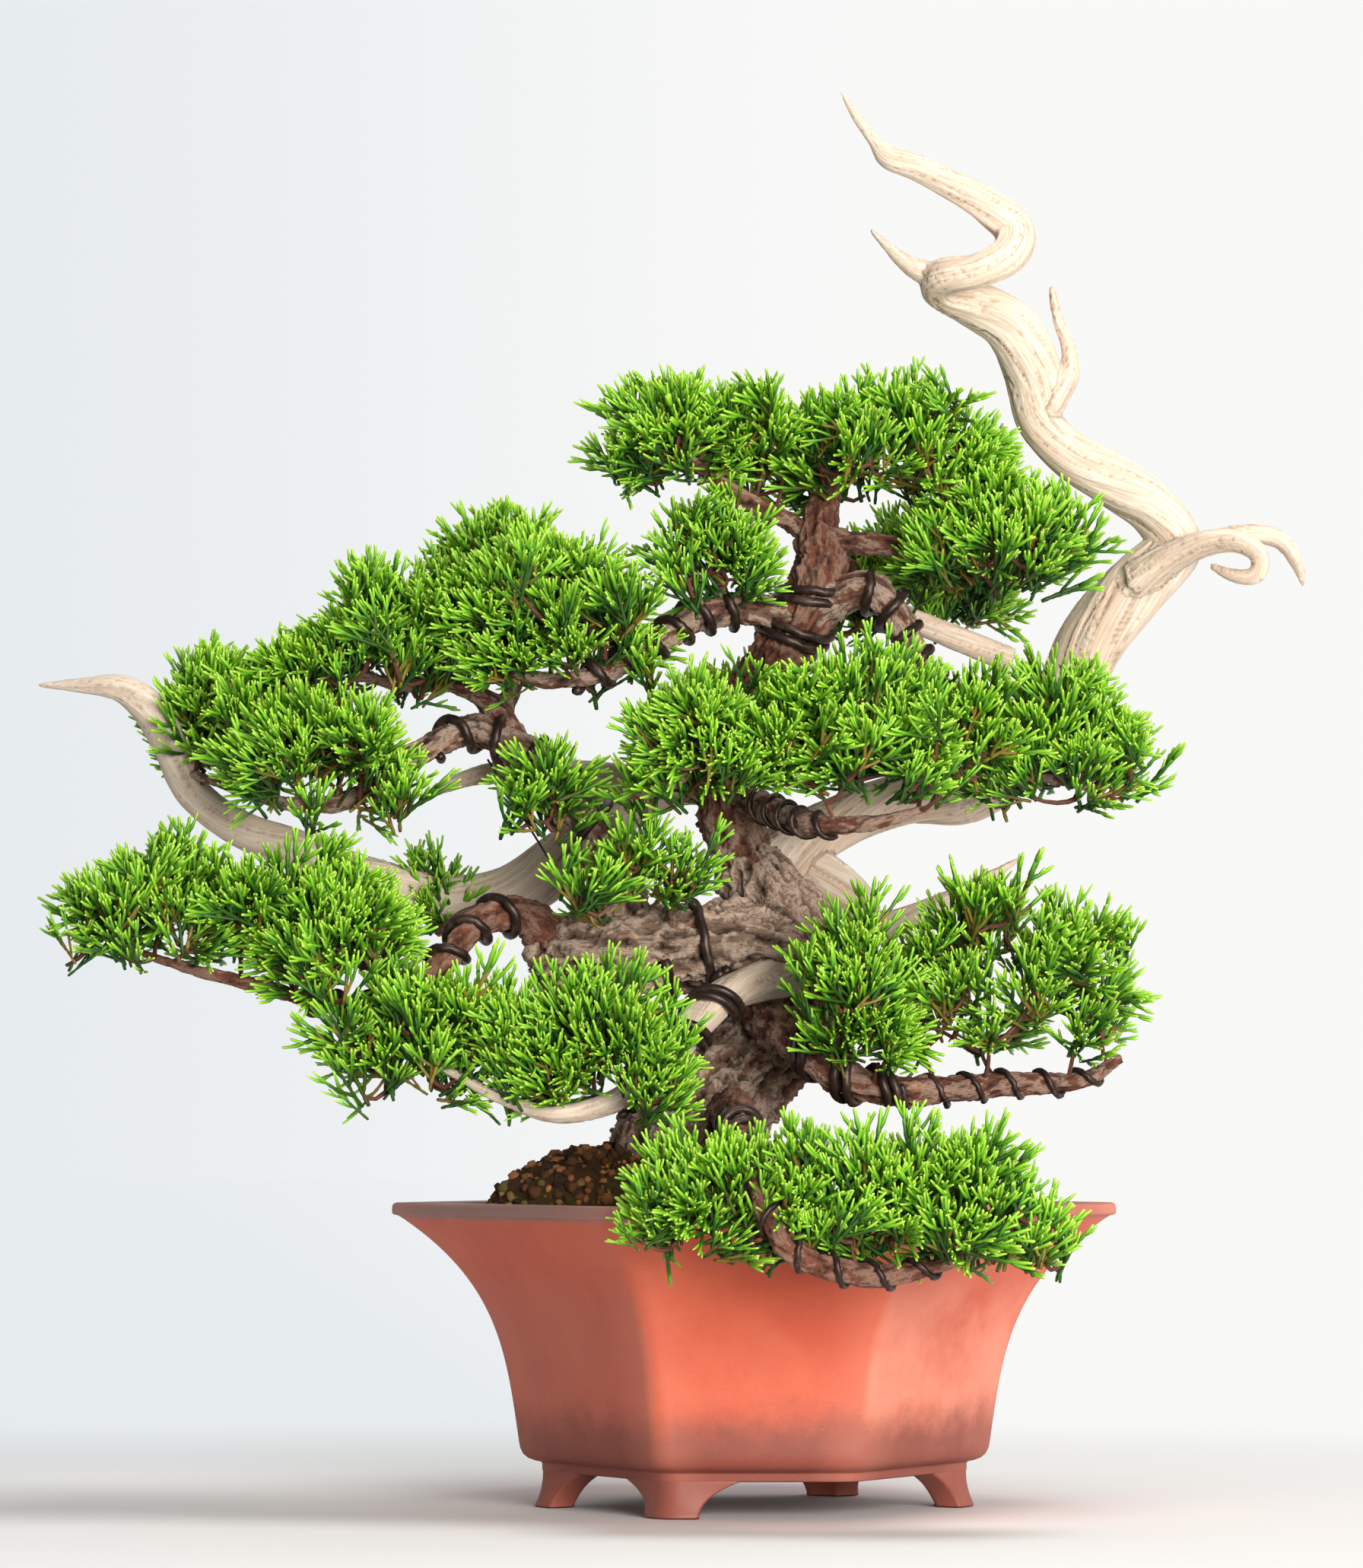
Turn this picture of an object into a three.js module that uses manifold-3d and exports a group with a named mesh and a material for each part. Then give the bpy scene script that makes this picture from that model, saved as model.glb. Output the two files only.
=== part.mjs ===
// A Shimpaku juniper bonsai with bleached deadwood, wired branches and clipped foliage pads,
// growing in an unglazed hexagonal clay pot on four feet. Millimetres, +Z up, -Y is the front.
import * as THREE from 'three';
import { mergeVertices } from 'three/addons/utils/BufferGeometryUtils.js';
import Module from 'manifold-3d';

const wasm = await Module();
wasm.setup();

// ---------------------------------------------------------------- driving dimensions
const clearance = 0.3; // air left between two pieces that touch
const treeScale = 1; // size of the tree against the routes and pads listed below
const woodGirth = 1; // thickness of every stem against the radii listed below, for its size

const potHeight = 82.4; // table to rim top
const rimRadius = 100; // centre to a rim corner
const rimDepth = 3.4; // height of the upright lip
const lipWidth = 10.5; // rim top, outer edge to inner edge, measured at a corner
const lipJut = 1.5; // how far the lip stands out past the side below it
const lipChamfer = 0.8; // bevel along the rim's outer edge
const lipSlope = 0.5; // height over which the side steps out to the lip
const potWall = 7.5; // wall of the body, measured at a corner
const potFloor = 7; // thickness of the floor
const shoulderRadius = 65.1; // body just above the rounded lower edge, at a corner
const shoulderHeight = 15.8; // table to that shoulder
const sideLean = 9; // how far the side leans out, before the flare is added
const flarePower = 3.6; // how late the side turns outwards into the flare
const baseRadius = 59; // moulding between the body and the feet, at a corner
const baseHeight = 2.5; // height of that moulding
const rollWidth = 5; // width of the rounded lower edge above the moulding
const rollRise = 1.1; // height at which that edge has come out most of the way
const cornerRound = 4; // rounding of the six upright edges
const potTurn = THREE.MathUtils.degToRad(0.9); // the pot stands slightly turned

const footHeight = 9.5; // table to the base moulding
const footSpread = 2; // how far a foot flares out below the moulding
const footLeg = 9.6; // length of each leg of a foot along the pot's side, at the table
const footRise = 9; // extra length of each leg where it meets the pot
const footThickness = 8.5; // foot, from its outer to its inner face
const footCurve = 2.2; // how late the legs spread into the pot
const footInset = 0.2; // how far a foot stands back from the moulding at its top

const drainRadius = 7; // drainage holes in the floor
const drainSpacing = 50; // centre to centre of the two holes
const screenSize = 20; // side of the plastic screen over each hole
const screenThickness = 1.2;

const soilDrop = 3.5; // rim top down to the soil
const moundHeight = 22; // root mound above the soil
const trunkSink = 8; // how deep the trunk's foot stands in the soil
const cornerGrowth = 1.4; // a hexagon's corner moves out this much as its sides move out by one

const thickWire = 1.3; // radius of the heavy training wire
const thinWire = 0.75; // radius of the light training wire
const guyWire = 0.3; // radius of the straight tie wire
const stepsPerTurn = 6; // straight steps in one turn of wire
const wireSides = 4;

// ---------------------------------------------------------------- materials
const look = (color, roughness, metalness = 0) => {
  return new THREE.MeshStandardMaterial({ color, roughness, metalness });
};
const fired_clay = look(0xc9573c, 0.55);
const bark = look(0x7d5a48, 0.9);
const bleached_wood = look(0xe9d9c0, 0.75);
const juniper_green = look(0x3f8f22, 0.6);
const wire_brown = look(0x33241f, 0.4, 0.6);
const soil_brown = look(0x6e4023, 0.95);
const screen_black = look(0x22221f, 0.6);

// ---------------------------------------------------------------- solids
// Turns a triangle list into a closed solid that can be joined and cut.
function solidOf(vertices, triangles) {
  const geometry = new THREE.BufferGeometry();
  geometry.setAttribute('position', new THREE.Float32BufferAttribute(vertices, 3));
  geometry.setIndex(triangles);
  return solidFromGeometry(geometry);
}

function solidFromGeometry(geometry) {
  geometry.deleteAttribute('normal');
  geometry.deleteAttribute('uv');
  const merged = mergeVertices(geometry, 1e-4);
  const mesh = new wasm.Mesh({
    numProp: 3,
    vertProperties: new Float32Array(merged.attributes.position.array),
    triVerts: new Uint32Array(merged.index.array),
  });
  return new wasm.Manifold(mesh);
}

function largestBody(solid) {
  const bodies = solid.decompose();
  return bodies.reduce((best, body) => (body.volume() > best.volume() ? body : best));
}

function geometryOf(solid) {
  const mesh = solid.getMesh();
  const geometry = new THREE.BufferGeometry();
  geometry.setAttribute('position', new THREE.Float32BufferAttribute(mesh.vertProperties, 3));
  geometry.setIndex(Array.from(mesh.triVerts));
  geometry.computeVertexNormals();
  return geometry;
}

// Skins a stack of outlines, lowest first, each an equally long anticlockwise list of [x, y].
function stack(outlines, heights) {
  const count = outlines[0].length;
  const vertices = [];
  const triangles = [];
  outlines.forEach((outline, level) => {
    outline.forEach(([x, y]) => vertices.push(x, y, heights[level]));
  });
  for (let level = 0; level < outlines.length - 1; level += 1) {
    for (let i = 0; i < count; i += 1) {
      const a = level * count + i;
      const b = level * count + ((i + 1) % count);
      triangles.push(a, b, b + count, a, b + count, a + count);
    }
  }
  const capOf = (outline) => {
    return THREE.ShapeUtils.triangulateShape(outline.map(([x, y]) => new THREE.Vector2(x, y)), []);
  };
  const top = (outlines.length - 1) * count;
  capOf(outlines[0]).forEach(([a, b, c]) => triangles.push(c, b, a));
  capOf(outlines[outlines.length - 1]).forEach(([a, b, c]) => triangles.push(top + a, top + b, top + c));
  return solidOf(vertices, triangles);
}

// ---------------------------------------------------------------- finished pieces
const group = new THREE.Group();
const settled = []; // what later pieces have to stay clear of

function addPiece(name, solid, material, envelope) {
  const mesh = new THREE.Mesh(geometryOf(solid), material);
  mesh.name = name;
  group.add(mesh);
  settled.push(envelope);
}

function clearOf(solid, envelopes) {
  return largestBody(envelopes.reduce((rest, envelope) => rest.subtract(envelope), solid));
}

// ---------------------------------------------------------------- pot
// Corners of a long hexagon of unit radius, anticlockwise from the left corner.
const frontCorner = 0.4215;
const frontDepth = 0.866;
const hexCorners = [
  [-1, 0],
  [-frontCorner, -frontDepth],
  [frontCorner, -frontDepth],
  [1, 0],
  [frontCorner, frontDepth],
  [-frontCorner, frontDepth],
].map(([x, y]) => new THREE.Vector2(x, y).rotateAround(new THREE.Vector2(), potTurn));
const footedCorners = [0, 1, 3, 4];

// The two unit vectors that lead from a corner along its sides.
function sidesAt(corner) {
  const here = hexCorners[corner];
  const before = hexCorners[(corner + 5) % 6].clone().sub(here).normalize();
  const after = hexCorners[(corner + 1) % 6].clone().sub(here).normalize();
  return { before, after };
}

function roundedCorner(corner, radius) {
  const tip = hexCorners[corner].clone().multiplyScalar(radius);
  const { before, after } = sidesAt(corner);
  const start = tip.clone().addScaledVector(before, cornerRound);
  const end = tip.clone().addScaledVector(after, cornerRound);
  return new THREE.QuadraticBezierCurve(start, tip, end).getPoints(2).map((p) => [p.x, p.y]);
}

function hexOutline(radius) {
  return hexCorners.flatMap((_, corner) => roundedCorner(corner, radius));
}

const lipHeight = potHeight - rimDepth;
const floorTop = footHeight + potFloor;

// Corner radius of the outside of the body at a height above the table.
function bodyRadius(height) {
  const rise = Math.max(height - shoulderHeight, 0) / (lipHeight - shoulderHeight);
  const flare = rimRadius - lipJut - shoulderRadius - sideLean;
  return shoulderRadius + sideLean * rise + flare * rise ** flarePower;
}

// The inside follows the side at a few levels, straight from each one to the next.
const wallShares = [0, 0.3, 0.55, 0.75, 0.9, 1];
const wallLevels = wallShares.map((share) => {
  const height = floorTop + (potHeight - floorTop) * share;
  return { height, radius: Math.min(bodyRadius(height) - potWall, rimRadius - lipWidth) };
});

// Corner radius of the inside at a height above the table.
function insideRadius(height) {
  const above = Math.max(wallLevels.findIndex((level) => level.height >= height), 1);
  const [low, high] = height > potHeight ? wallLevels.slice(-2) : wallLevels.slice(above - 1, above + 1);
  const share = Math.min(Math.max((height - low.height) / (high.height - low.height), 0), 1);
  return THREE.MathUtils.lerp(low.radius, high.radius, share);
}

function potOutside() {
  const bodySteps = 6;
  const rollStart = footHeight + baseHeight;
  const levels = [
    [footHeight, baseRadius],
    [rollStart, baseRadius],
    [rollStart + rollRise * 0.1, shoulderRadius - rollWidth],
    [rollStart + rollRise, shoulderRadius - rollWidth * 0.4],
  ];
  for (let step = 0; step <= bodySteps; step += 1) {
    const height = shoulderHeight + ((lipHeight - shoulderHeight) * step) / bodySteps;
    levels.push([height, bodyRadius(height)]);
  }
  levels.push([lipHeight + lipSlope, rimRadius]);
  levels.push([potHeight - lipChamfer, rimRadius]);
  levels.push([potHeight, rimRadius - lipChamfer]);
  return stack(levels.map(([, radius]) => hexOutline(radius)), levels.map(([height]) => height));
}

// What fills the inside of the pot between two heights.
function insideStack(bottom, top, inset) {
  const between = wallLevels.map(({ height }) => height).filter((height) => height > bottom && height < top);
  const heights = [bottom, ...between, top];
  return stack(heights.map((height) => hexOutline(insideRadius(height) - inset)), heights);
}

// One foot: two short legs that wrap a corner, wider where they meet the pot.
function foot(corner) {
  const { before, after } = sidesAt(corner);
  const inward = hexCorners[corner].clone().negate().normalize();
  const halfAngle = Math.acos(before.dot(inward));
  const innerTip = footThickness / Math.sin(halfAngle);
  const inwardOf = (side) => inward.clone().addScaledVector(side, -inward.dot(side)).normalize();
  const steps = 3;
  const heights = Array.from({ length: steps + 1 }, (_, i) => (footHeight * i) / steps);
  heights.push(footHeight + baseHeight / 2);
  const outlines = heights.map((height) => {
    const share = Math.min(height / footHeight, 1);
    const leg = footLeg + footRise * share ** footCurve;
    const radius = baseRadius + footSpread * (1 - share) ** 2 - footInset * share;
    const tip = hexCorners[corner].clone().multiplyScalar(radius);
    const at = (side, along, depth) => {
      return tip.clone().addScaledVector(side, along).addScaledVector(inwardOf(side), depth);
    };
    const innerCorner = tip.clone().addScaledVector(inward, innerTip);
    const points = [at(before, leg, 0), at(before, cornerRound, 0), at(after, cornerRound, 0)];
    points.push(at(after, leg, 0), at(after, leg, footThickness), innerCorner);
    points.push(at(before, leg, footThickness));
    return points.map((p) => [p.x, p.y]);
  });
  return stack(outlines, heights);
}

function cylinderUpright(radius, height, x, y, z) {
  const geometry = new THREE.CylinderGeometry(radius, radius, height, 12);
  geometry.rotateX(Math.PI / 2);
  geometry.translate(x, y, z + height / 2);
  return solidFromGeometry(geometry);
}

const drainPlaces = [-drainSpacing / 2, drainSpacing / 2];

function makePot() {
  let pot = potOutside();
  footedCorners.forEach((corner) => {
    pot = pot.add(foot(corner));
  });
  pot = pot.subtract(insideStack(floorTop, potHeight + 1, 0));
  drainPlaces.forEach((x) => {
    pot = pot.subtract(cylinderUpright(drainRadius, floorTop + 2, x, 0, -1));
  });
  return pot;
}

// The pot's outside grown by a margin, for what hangs in front of it.
function potShield(margin) {
  const steps = 6;
  const sideHeight = (step) => shoulderHeight + ((lipHeight - shoulderHeight) * step) / steps;
  const levels = [[0, Math.max(baseRadius + footSpread, shoulderRadius)]];
  for (let step = 0; step < steps; step += 1) {
    levels.push([sideHeight(step), bodyRadius(sideHeight(step + 0.5))]);
  }
  levels.push([lipHeight - margin, rimRadius], [potHeight + margin, rimRadius]);
  const outlines = levels.map(([, radius]) => hexOutline(radius + margin * cornerGrowth));
  return stack(outlines, levels.map(([height]) => height));
}

// ---------------------------------------------------------------- stems
// A stem's route is a list of [x, y, height above the rim, radius] at full tree scale.
function stemSamples(route) {
  const rim = new THREE.Vector3(0, 0, potHeight);
  return route.map(([x, y, z, radius]) => {
    const place = new THREE.Vector3(x, y, z).multiplyScalar(treeScale).add(rim);
    return { place, radius: radius * treeScale * woodGirth };
  });
}

// Directions and turning frames along a run of samples, without twist.
function framesAlong(samples) {
  const last = samples.length - 1;
  const ahead = samples.map((_, i) => {
    const from = samples[Math.max(i - 1, 0)].place;
    return samples[Math.min(i + 1, last)].place.clone().sub(from).normalize();
  });
  const guide = Math.abs(ahead[0].z) < 0.9 ? new THREE.Vector3(0, 0, 1) : new THREE.Vector3(1, 0, 0);
  let side = guide.addScaledVector(ahead[0], -guide.dot(ahead[0])).normalize();
  return ahead.map((direction) => {
    side = side.clone().addScaledVector(direction, -side.dot(direction)).normalize();
    return { direction, side, across: direction.clone().cross(side) };
  });
}

function sweep(samples, sides, grow = 0) {
  const run = samples.map(({ place, radius }) => ({ place: place.clone(), radius: radius + grow }));
  const frames = framesAlong(run);
  run[0].place.addScaledVector(frames[0].direction, -grow);
  run[run.length - 1].place.addScaledVector(frames[run.length - 1].direction, grow);
  const vertices = [];
  const triangles = [];
  run.forEach(({ place, radius }, i) => {
    for (let k = 0; k < sides; k += 1) {
      const turn = (2 * Math.PI * k) / sides;
      const point = place.clone();
      point.addScaledVector(frames[i].side, radius * Math.cos(turn));
      point.addScaledVector(frames[i].across, radius * Math.sin(turn));
      vertices.push(point.x, point.y, point.z);
    }
  });
  for (let i = 0; i < run.length - 1; i += 1) {
    for (let k = 0; k < sides; k += 1) {
      const a = i * sides + k;
      const b = i * sides + ((k + 1) % sides);
      triangles.push(a, b, b + sides, a, b + sides, a + sides);
    }
  }
  const end = (run.length - 1) * sides;
  for (let k = 1; k < sides - 1; k += 1) {
    triangles.push(0, k + 1, k, end, end + k, end + k + 1);
  }
  return solidOf(vertices, triangles);
}

const heavyStem = 6; // radius from which a stem gets a rounder section

function stemSolid(routes, grow = 0) {
  const parts = routes.map((route) => {
    const girth = Math.max(...route.map((point) => point[3]));
    return sweep(stemSamples(route), girth > heavyStem ? 8 : 6, grow);
  });
  return parts.reduce((whole, part) => whole.add(part));
}

const trunkRoutes = [
  [[-23, 0, -3 - trunkSink, 17], [-22, 0, 7, 19], [-16, 0, 20, 17.5], [-7, 4, 32, 15.5], [5, 6, 43, 14.4],
    [14, 3, 54, 13.3], [14, -3, 65, 12.4], [6, -3, 78, 10.6], [-2, 3, 94, 8.6], [-8, 6, 113, 8], [-5, 5, 130, 7.5],
    [5, 0, 147, 7.7], [14, -3, 161, 8.4], [18, -3, 174, 7.6], [18, 0, 186, 5.2], [21, 3, 197, 3.4], [27, 3, 209, 1.8]],
  [[12, -4, 66, 11], [0, -12, 69, 11.4], [-22, -15, 69, 11.6], [-41, -14, 68, 11], [-53, -12, 67, 9.8],
    [-60, -12, 64, 8]],
  [[3, -2, 95, 3.6], [9, 0, 82, 8.4], [14, 0, 70, 12]],
];

// Every stem leaves the trunk or another stem, and is cut to sit against it.
const stems = {
  jin_crown: { wood: bleached_wood, routes: [
    [[0, 8, 88, 7.8], [22, 28, 105, 7.4], [42, 42, 114, 7.3], [62, 46, 114, 7.7], [77, 44, 125, 8.2], [87, 38, 140, 8.4],
      [95, 30, 157, 8.8], [107, 24, 171, 8.7], [118, 20, 182, 7.4], [112, 20, 193, 7], [102, 20, 199, 7.2],
      [88, 18, 207, 6.5], [79, 16, 217, 6.3], [78, 14, 230, 7.6], [71, 12, 242, 7.1], [61, 11, 248, 6.5],
      [52, 6, 252, 5.4], [52, -3, 254, 5], [61, -7, 255, 5], [70, -4, 260, 5.4], [72, 0, 267, 5.6], [66, 0, 273, 5.2],
      [57, 0, 279, 4.3], [45, 0, 285, 3.4], [37, 0, 288, 2.8], [32, 0, 294, 1.6], [27, 0, 300, 1.1], [24, 0, 306, 0.5]],
    [[52, -2, 253, 3.6], [44, 0, 257, 2.8], [38, 1, 262, 1.7], [32, 2, 267, 0.7]],
    [[80, 14, 222, 4], [83, 14, 228, 2.6], [80, 14, 235, 1.6], [78, 14, 243, 1], [77, 14, 250, 0.5]],
    [[109, 16, 175, 5], [122, 7, 180, 3.9], [133, 1, 181, 3.2], [139, -1, 177, 2.6], [138, 0, 172, 2.3],
      [132, 2, 172, 1.8], [127, 5, 175, 1.1]],
    [[116, 24, 180, 4.4], [126, 27, 183, 3.4], [139, 28, 186, 2.8], [149, 28, 184, 2.6], [152, 27, 178, 2],
      [154, 26, 171, 0.8]],
  ] },
  jin_bar: { wood: bleached_wood, routes: [
    [[18, 6, 170, 4.3], [32, 14, 166, 3.2], [50, 18, 159, 3], [72, 22, 150, 3.3]],
  ] },
  jin_left: { wood: bleached_wood, routes: [
    [[-196, -8, 141, 0.8], [-184, -8, 141, 2.4], [-173, -8, 140, 4], [-165, -6, 134, 5.2], [-160, -3, 125, 5],
      [-154, 0, 112, 4.8], [-141, 3, 102, 5.4], [-124, 6, 96, 5.8], [-105, 10, 89, 6], [-85, 14, 83, 6.7],
      [-67, 17, 85, 7.2], [-52, 19, 95, 7.4], [-37, 19, 108, 7], [-21, 15, 115, 6.5], [-6, 9, 114, 5.4]],
    [[-90, 10, 112, 1.3], [-78, 13, 117, 2.6], [-64, 17, 119, 3.5], [-48, 19, 118, 4.1], [-30, 17, 115, 4.8]],
  ] },
  jin_spur: { wood: bleached_wood, routes: [
    [[5, 18, 99, 4.8], [19, 24, 91, 6.3], [29, 22, 80, 6.1], [26, 12, 66, 7.1]],
    [[15, 6, 68, 6.7], [34, 18, 75, 4.1], [54, 24, 83, 3.1], [74, 28, 95, 1]],
  ] },
  branch_left_up: { wood: bark, routes: [
    [[-35, -14, 77, 8.3], [-40, -14, 95, 7.5], [-53, -10, 112, 6.6], [-65, -4, 124, 5.4], [-78, 0, 129, 4.2],
      [-92, -6, 122, 3.2], [-105, -10, 112, 2.8], [-120, -10, 108, 2.3], [-137, -8, 111, 1.7], [-154, -6, 117, 1]],
    [[-64, -4, 123, 4.7], [-72, 0, 136, 3.4], [-82, 2, 142, 2.8], [-95, 2, 142, 2.2], [-110, 0, 144, 1.3]],
    [[-69, 0, 133, 2.8], [-65, 6, 149, 2.2], [-67, 8, 164, 1.5], [-68, 8, 175, 0.9]],
    [[-46, -14, 103, 2.3], [-54, -28, 111, 1.5], [-60, -34, 115, 0.8]],
  ] },
  branch_upper_left: { wood: bark, routes: [
    [[11, -4, 158, 5.4], [-3, -8, 162, 4.7], [-14, -12, 160, 4.3], [-25, -18, 153, 3.4], [-40, -22, 144, 2.8],
      [-56, -22, 141, 2.1], [-73, -20, 145, 1.3]],
    [[-9, -10, 161, 2.4], [-10, -16, 172, 1.7], [-10, -19, 182, 1.1]],
  ] },
  branch_crown_right: { wood: bark, routes: [
    [[18, -2, 181, 3.6], [32, -7, 180, 3], [48, -9, 177, 2.3], [65, -9, 178, 1.7], [82, -8, 181, 1]],
  ] },
  branch_crown_left: { wood: bark, routes: [
    [[18, 0, 181, 3.2], [7, -3, 188, 2.6], [-5, -5, 194, 2.1], [-16, -6, 202, 1.5], [-24, -6, 208, 0.9]],
  ] },
  branch_crown_back: { wood: bark, routes: [
    [[18, 2, 172, 3.7], [22, 18, 177, 2.6], [34, 34, 176, 2], [52, 42, 174, 1.1]],
  ] },
  branch_upper_right: { wood: bark, routes: [
    [[16, -5, 162, 5.4], [30, -9, 167, 4.7], [37, -10, 162, 4.5], [42, -11, 152, 3.8], [49, -12, 141, 3.2],
      [61, -13, 129, 2.6], [76, -13, 117, 1.9], [95, -12, 112, 1.1]],
  ] },
  branch_middle_left: { wood: bark, routes: [
    [[-6, 2, 127, 4.5], [-16, -20, 134, 4], [-21, -38, 128, 3.4], [-20, -50, 115, 2.5], [-28, -54, 109, 1.7],
      [-36, -55, 108, 0.9]],
  ] },
  branch_middle_right: { wood: bark, routes: [
    [[-6, 6, 113, 4.7], [5, -20, 106, 3.6], [16, -42, 101, 2.9], [30, -50, 101, 2.1], [45, -50, 105, 1]],
  ] },
  branch_sprig: { wood: bark, routes: [[[-22, -22, 75, 2.5], [-23, -38, 85, 1.7], [-26, -43, 92, 0.9]]] },
  branch_low_left: { wood: bark, routes: [
    [[-55, -13, 71, 6], [-65, -20, 78, 4.9], [-76, -28, 74, 4], [-85, -38, 63, 3.4], [-97, -44, 53, 2.7],
      [-113, -46, 53, 2.3], [-132, -45, 58, 1.9], [-152, -43, 63, 1.5], [-170, -42, 69, 0.8]],
    [[-63, -16, 77, 3.4], [-75, 0, 80, 2.1], [-87, 9, 74, 1.3]],
  ] },
  branch_front_left: { wood: bleached_wood, routes: [
    [[8, -14, 63, 6], [-6, -31, 57, 5.2], [-16, -42, 48, 4.8], [-25, -52, 38, 3.9], [-36, -60, 28, 3.1],
      [-52, -66, 24, 2.5], [-67, -64, 28, 1.9], [-84, -56, 37, 1.3], [-101, -52, 45, 0.8]],
  ] },
  branch_low_right: { wood: bark, routes: [
    [[3, -10, 50, 6.6], [14, -36, 42, 5.7], [25, -42, 33, 4.6], [43, -40, 30, 3.8], [67, -34, 32, 3.2],
      [87, -32, 33, 2.5], [98, -30, 39, 1.3]],
  ] },
  branch_front: { wood: bark, routes: [
    [[-7, -6, 26, 6.2], [-5, -48, 22, 5], [-4, -84, 18, 4.1], [-1, -108, 7, 3.6], [7, -116, -9, 3.4],
      [18, -114, -15, 3.2], [32, -112, -17, 2.8], [47, -110, -14, 2], [67, -108, -7, 1.2]],
  ] },
  branch_back: { wood: bark, routes: [[[-7, 8, 120, 3.7], [-8, 36, 127, 2.9], [-6, 60, 133, 1.6]]] },
};

// ---------------------------------------------------------------- wires
// A wire is wound on one route of a stem, between two shares of its length.
const windings = {
  wire_left_up: { on: ['branch_left_up', 0], from: 0.26, to: 0.5, turns: 4, gauge: thickWire },
  wire_upper_left: { on: ['branch_upper_left', 0], from: 0.24, to: 0.7, turns: 5, gauge: thickWire },
  wire_upper_right: { on: ['branch_upper_right', 0], from: 0.3, to: 0.62, turns: 4, gauge: thickWire },
  wire_middle_left: { on: ['branch_middle_left', 0], from: 0.26, to: 0.62, turns: 3, gauge: thickWire },
  wire_low_left: { on: ['branch_low_left', 0], from: 0.2, to: 0.5, turns: 4, gauge: thickWire },
  wire_front_left: { on: ['branch_front_left', 0], from: 0.18, to: 0.42, turns: 3, gauge: thickWire },
  wire_low_right: { on: ['branch_low_right', 0], from: 0.26, to: 0.86, turns: 6, gauge: thickWire },
  wire_front: { on: ['branch_front', 0], from: 0.2, to: 0.85, turns: 9, gauge: thinWire },
  wire_trunk: { on: ['trunk', 1], from: 0.22, to: 0.4, turns: 1, gauge: thickWire },
};

function woundRoute([stem, index]) {
  return stem === 'trunk' ? trunkRoutes[index] : stems[stem].routes[index];
}

// Distance from the middle of a wound stem to the middle of its wire.
function windingReach(girth, gauge) {
  return (girth + clearance) / Math.cos(Math.PI / stepsPerTurn) + gauge;
}

function woundWire({ on, from, to, turns, gauge }) {
  const samples = stemSamples(woundRoute(on));
  const frames = framesAlong(samples);
  const last = samples.length - 1;
  const steps = turns * stepsPerTurn;
  return Array.from({ length: steps + 1 }, (_, step) => {
    const where = (from + ((to - from) * step) / steps) * last;
    const i = Math.min(Math.floor(where), last - 1);
    const share = where - i;
    const place = samples[i].place.clone().lerp(samples[i + 1].place, share);
    const side = frames[i].side.clone().lerp(frames[i + 1].side, share).normalize();
    const across = frames[i].across.clone().lerp(frames[i + 1].across, share).normalize();
    const girth = THREE.MathUtils.lerp(samples[i].radius, samples[i + 1].radius, share);
    const reach = windingReach(girth, gauge);
    const turn = (2 * Math.PI * step) / stepsPerTurn;
    place.addScaledVector(side, reach * Math.cos(turn)).addScaledVector(across, reach * Math.sin(turn));
    return { place, radius: gauge };
  });
}

// The room that a wound stretch of a stem takes up, wire and clearance included.
function windingSleeve({ on, from, to, gauge }) {
  const samples = stemSamples(woundRoute(on));
  const last = samples.length - 1;
  const first = Math.max(Math.floor(from * last) - 1, 0);
  const wound = samples.slice(first, Math.min(Math.ceil(to * last) + 1, last) + 1);
  const sleeveSides = 6;
  return sweep(wound.map(({ place, radius }) => {
    const flat = windingReach(radius, gauge) + gauge + clearance;
    return { place, radius: flat / Math.cos(Math.PI / sleeveSides) };
  }), sleeveSides);
}

const guyRoute = [[-73, -2, 121, guyWire], [-46, -18, 77, guyWire]];

// ---------------------------------------------------------------- foliage
// A pad is a dome of scale foliage: its underside's centre, half widths and height.
const pads = {
  crown_left: { at: [-20, -5, 192], half: [27, 25], tall: 40 },
  crown_top: { at: [38, 0, 189], half: [42, 36], tall: 40 },
  crown_right: { at: [66, -8, 168], half: [33, 32], tall: 34 },
  crown_back: { at: [44, 42, 160], half: [40, 26], tall: 34 },
  heart: { at: [-9, -20, 164], half: [20, 16], tall: 30 },
  peak: { at: [-68, 10, 158], half: [23, 26], tall: 36 },
  upper_left_tip: { at: [-103, -2, 136], half: [26, 30], tall: 42 },
  upper_left: { at: [-54, -24, 130], half: [35, 26], tall: 56 },
  left_tip: { at: [-147, 4, 114], half: [25, 26], tall: 42 },
  left_front: { at: [-117, -24, 105], half: [34, 24], tall: 36 },
  droop: { at: [-56, -36, 99], half: [15, 12], tall: 29 },
  middle_left: { at: [-18, -52, 100], half: [28, 24], tall: 52 },
  middle_right: { at: [29, -50, 100], half: [32, 28], tall: 54 },
  right_tip: { at: [82, -14, 102], half: [33, 30], tall: 48 },
  sprig: { at: [-29, -44, 77], half: [26, 13], tall: 33 },
  low_left_tip: { at: [-161, -43, 61], half: [30, 25], tall: 41 },
  low_left: { at: [-112, -46, 50], half: [29, 24], tall: 48 },
  low_left_back: { at: [-88, 12, 74], half: [15, 13], tall: 26 },
  front_left_tip: { at: [-92, -56, 26], half: [29, 20], tall: 42 },
  front_left: { at: [-42, -66, 17], half: [34, 22], tall: 50 },
  low_right_inner: { at: [25, -52, 28], half: [17, 16], tall: 50 },
  low_right: { at: [72, -30, 28], half: [44, 36], tall: 62 },
  front_inner: { at: [-14, -104, -14], half: [27, 20], tall: 42 },
  front_outer: { at: [44, -110, -20], half: [42, 22], tall: 48 },
  back: { at: [-5, 58, 116], half: [36, 26], tall: 38 },
};

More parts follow.
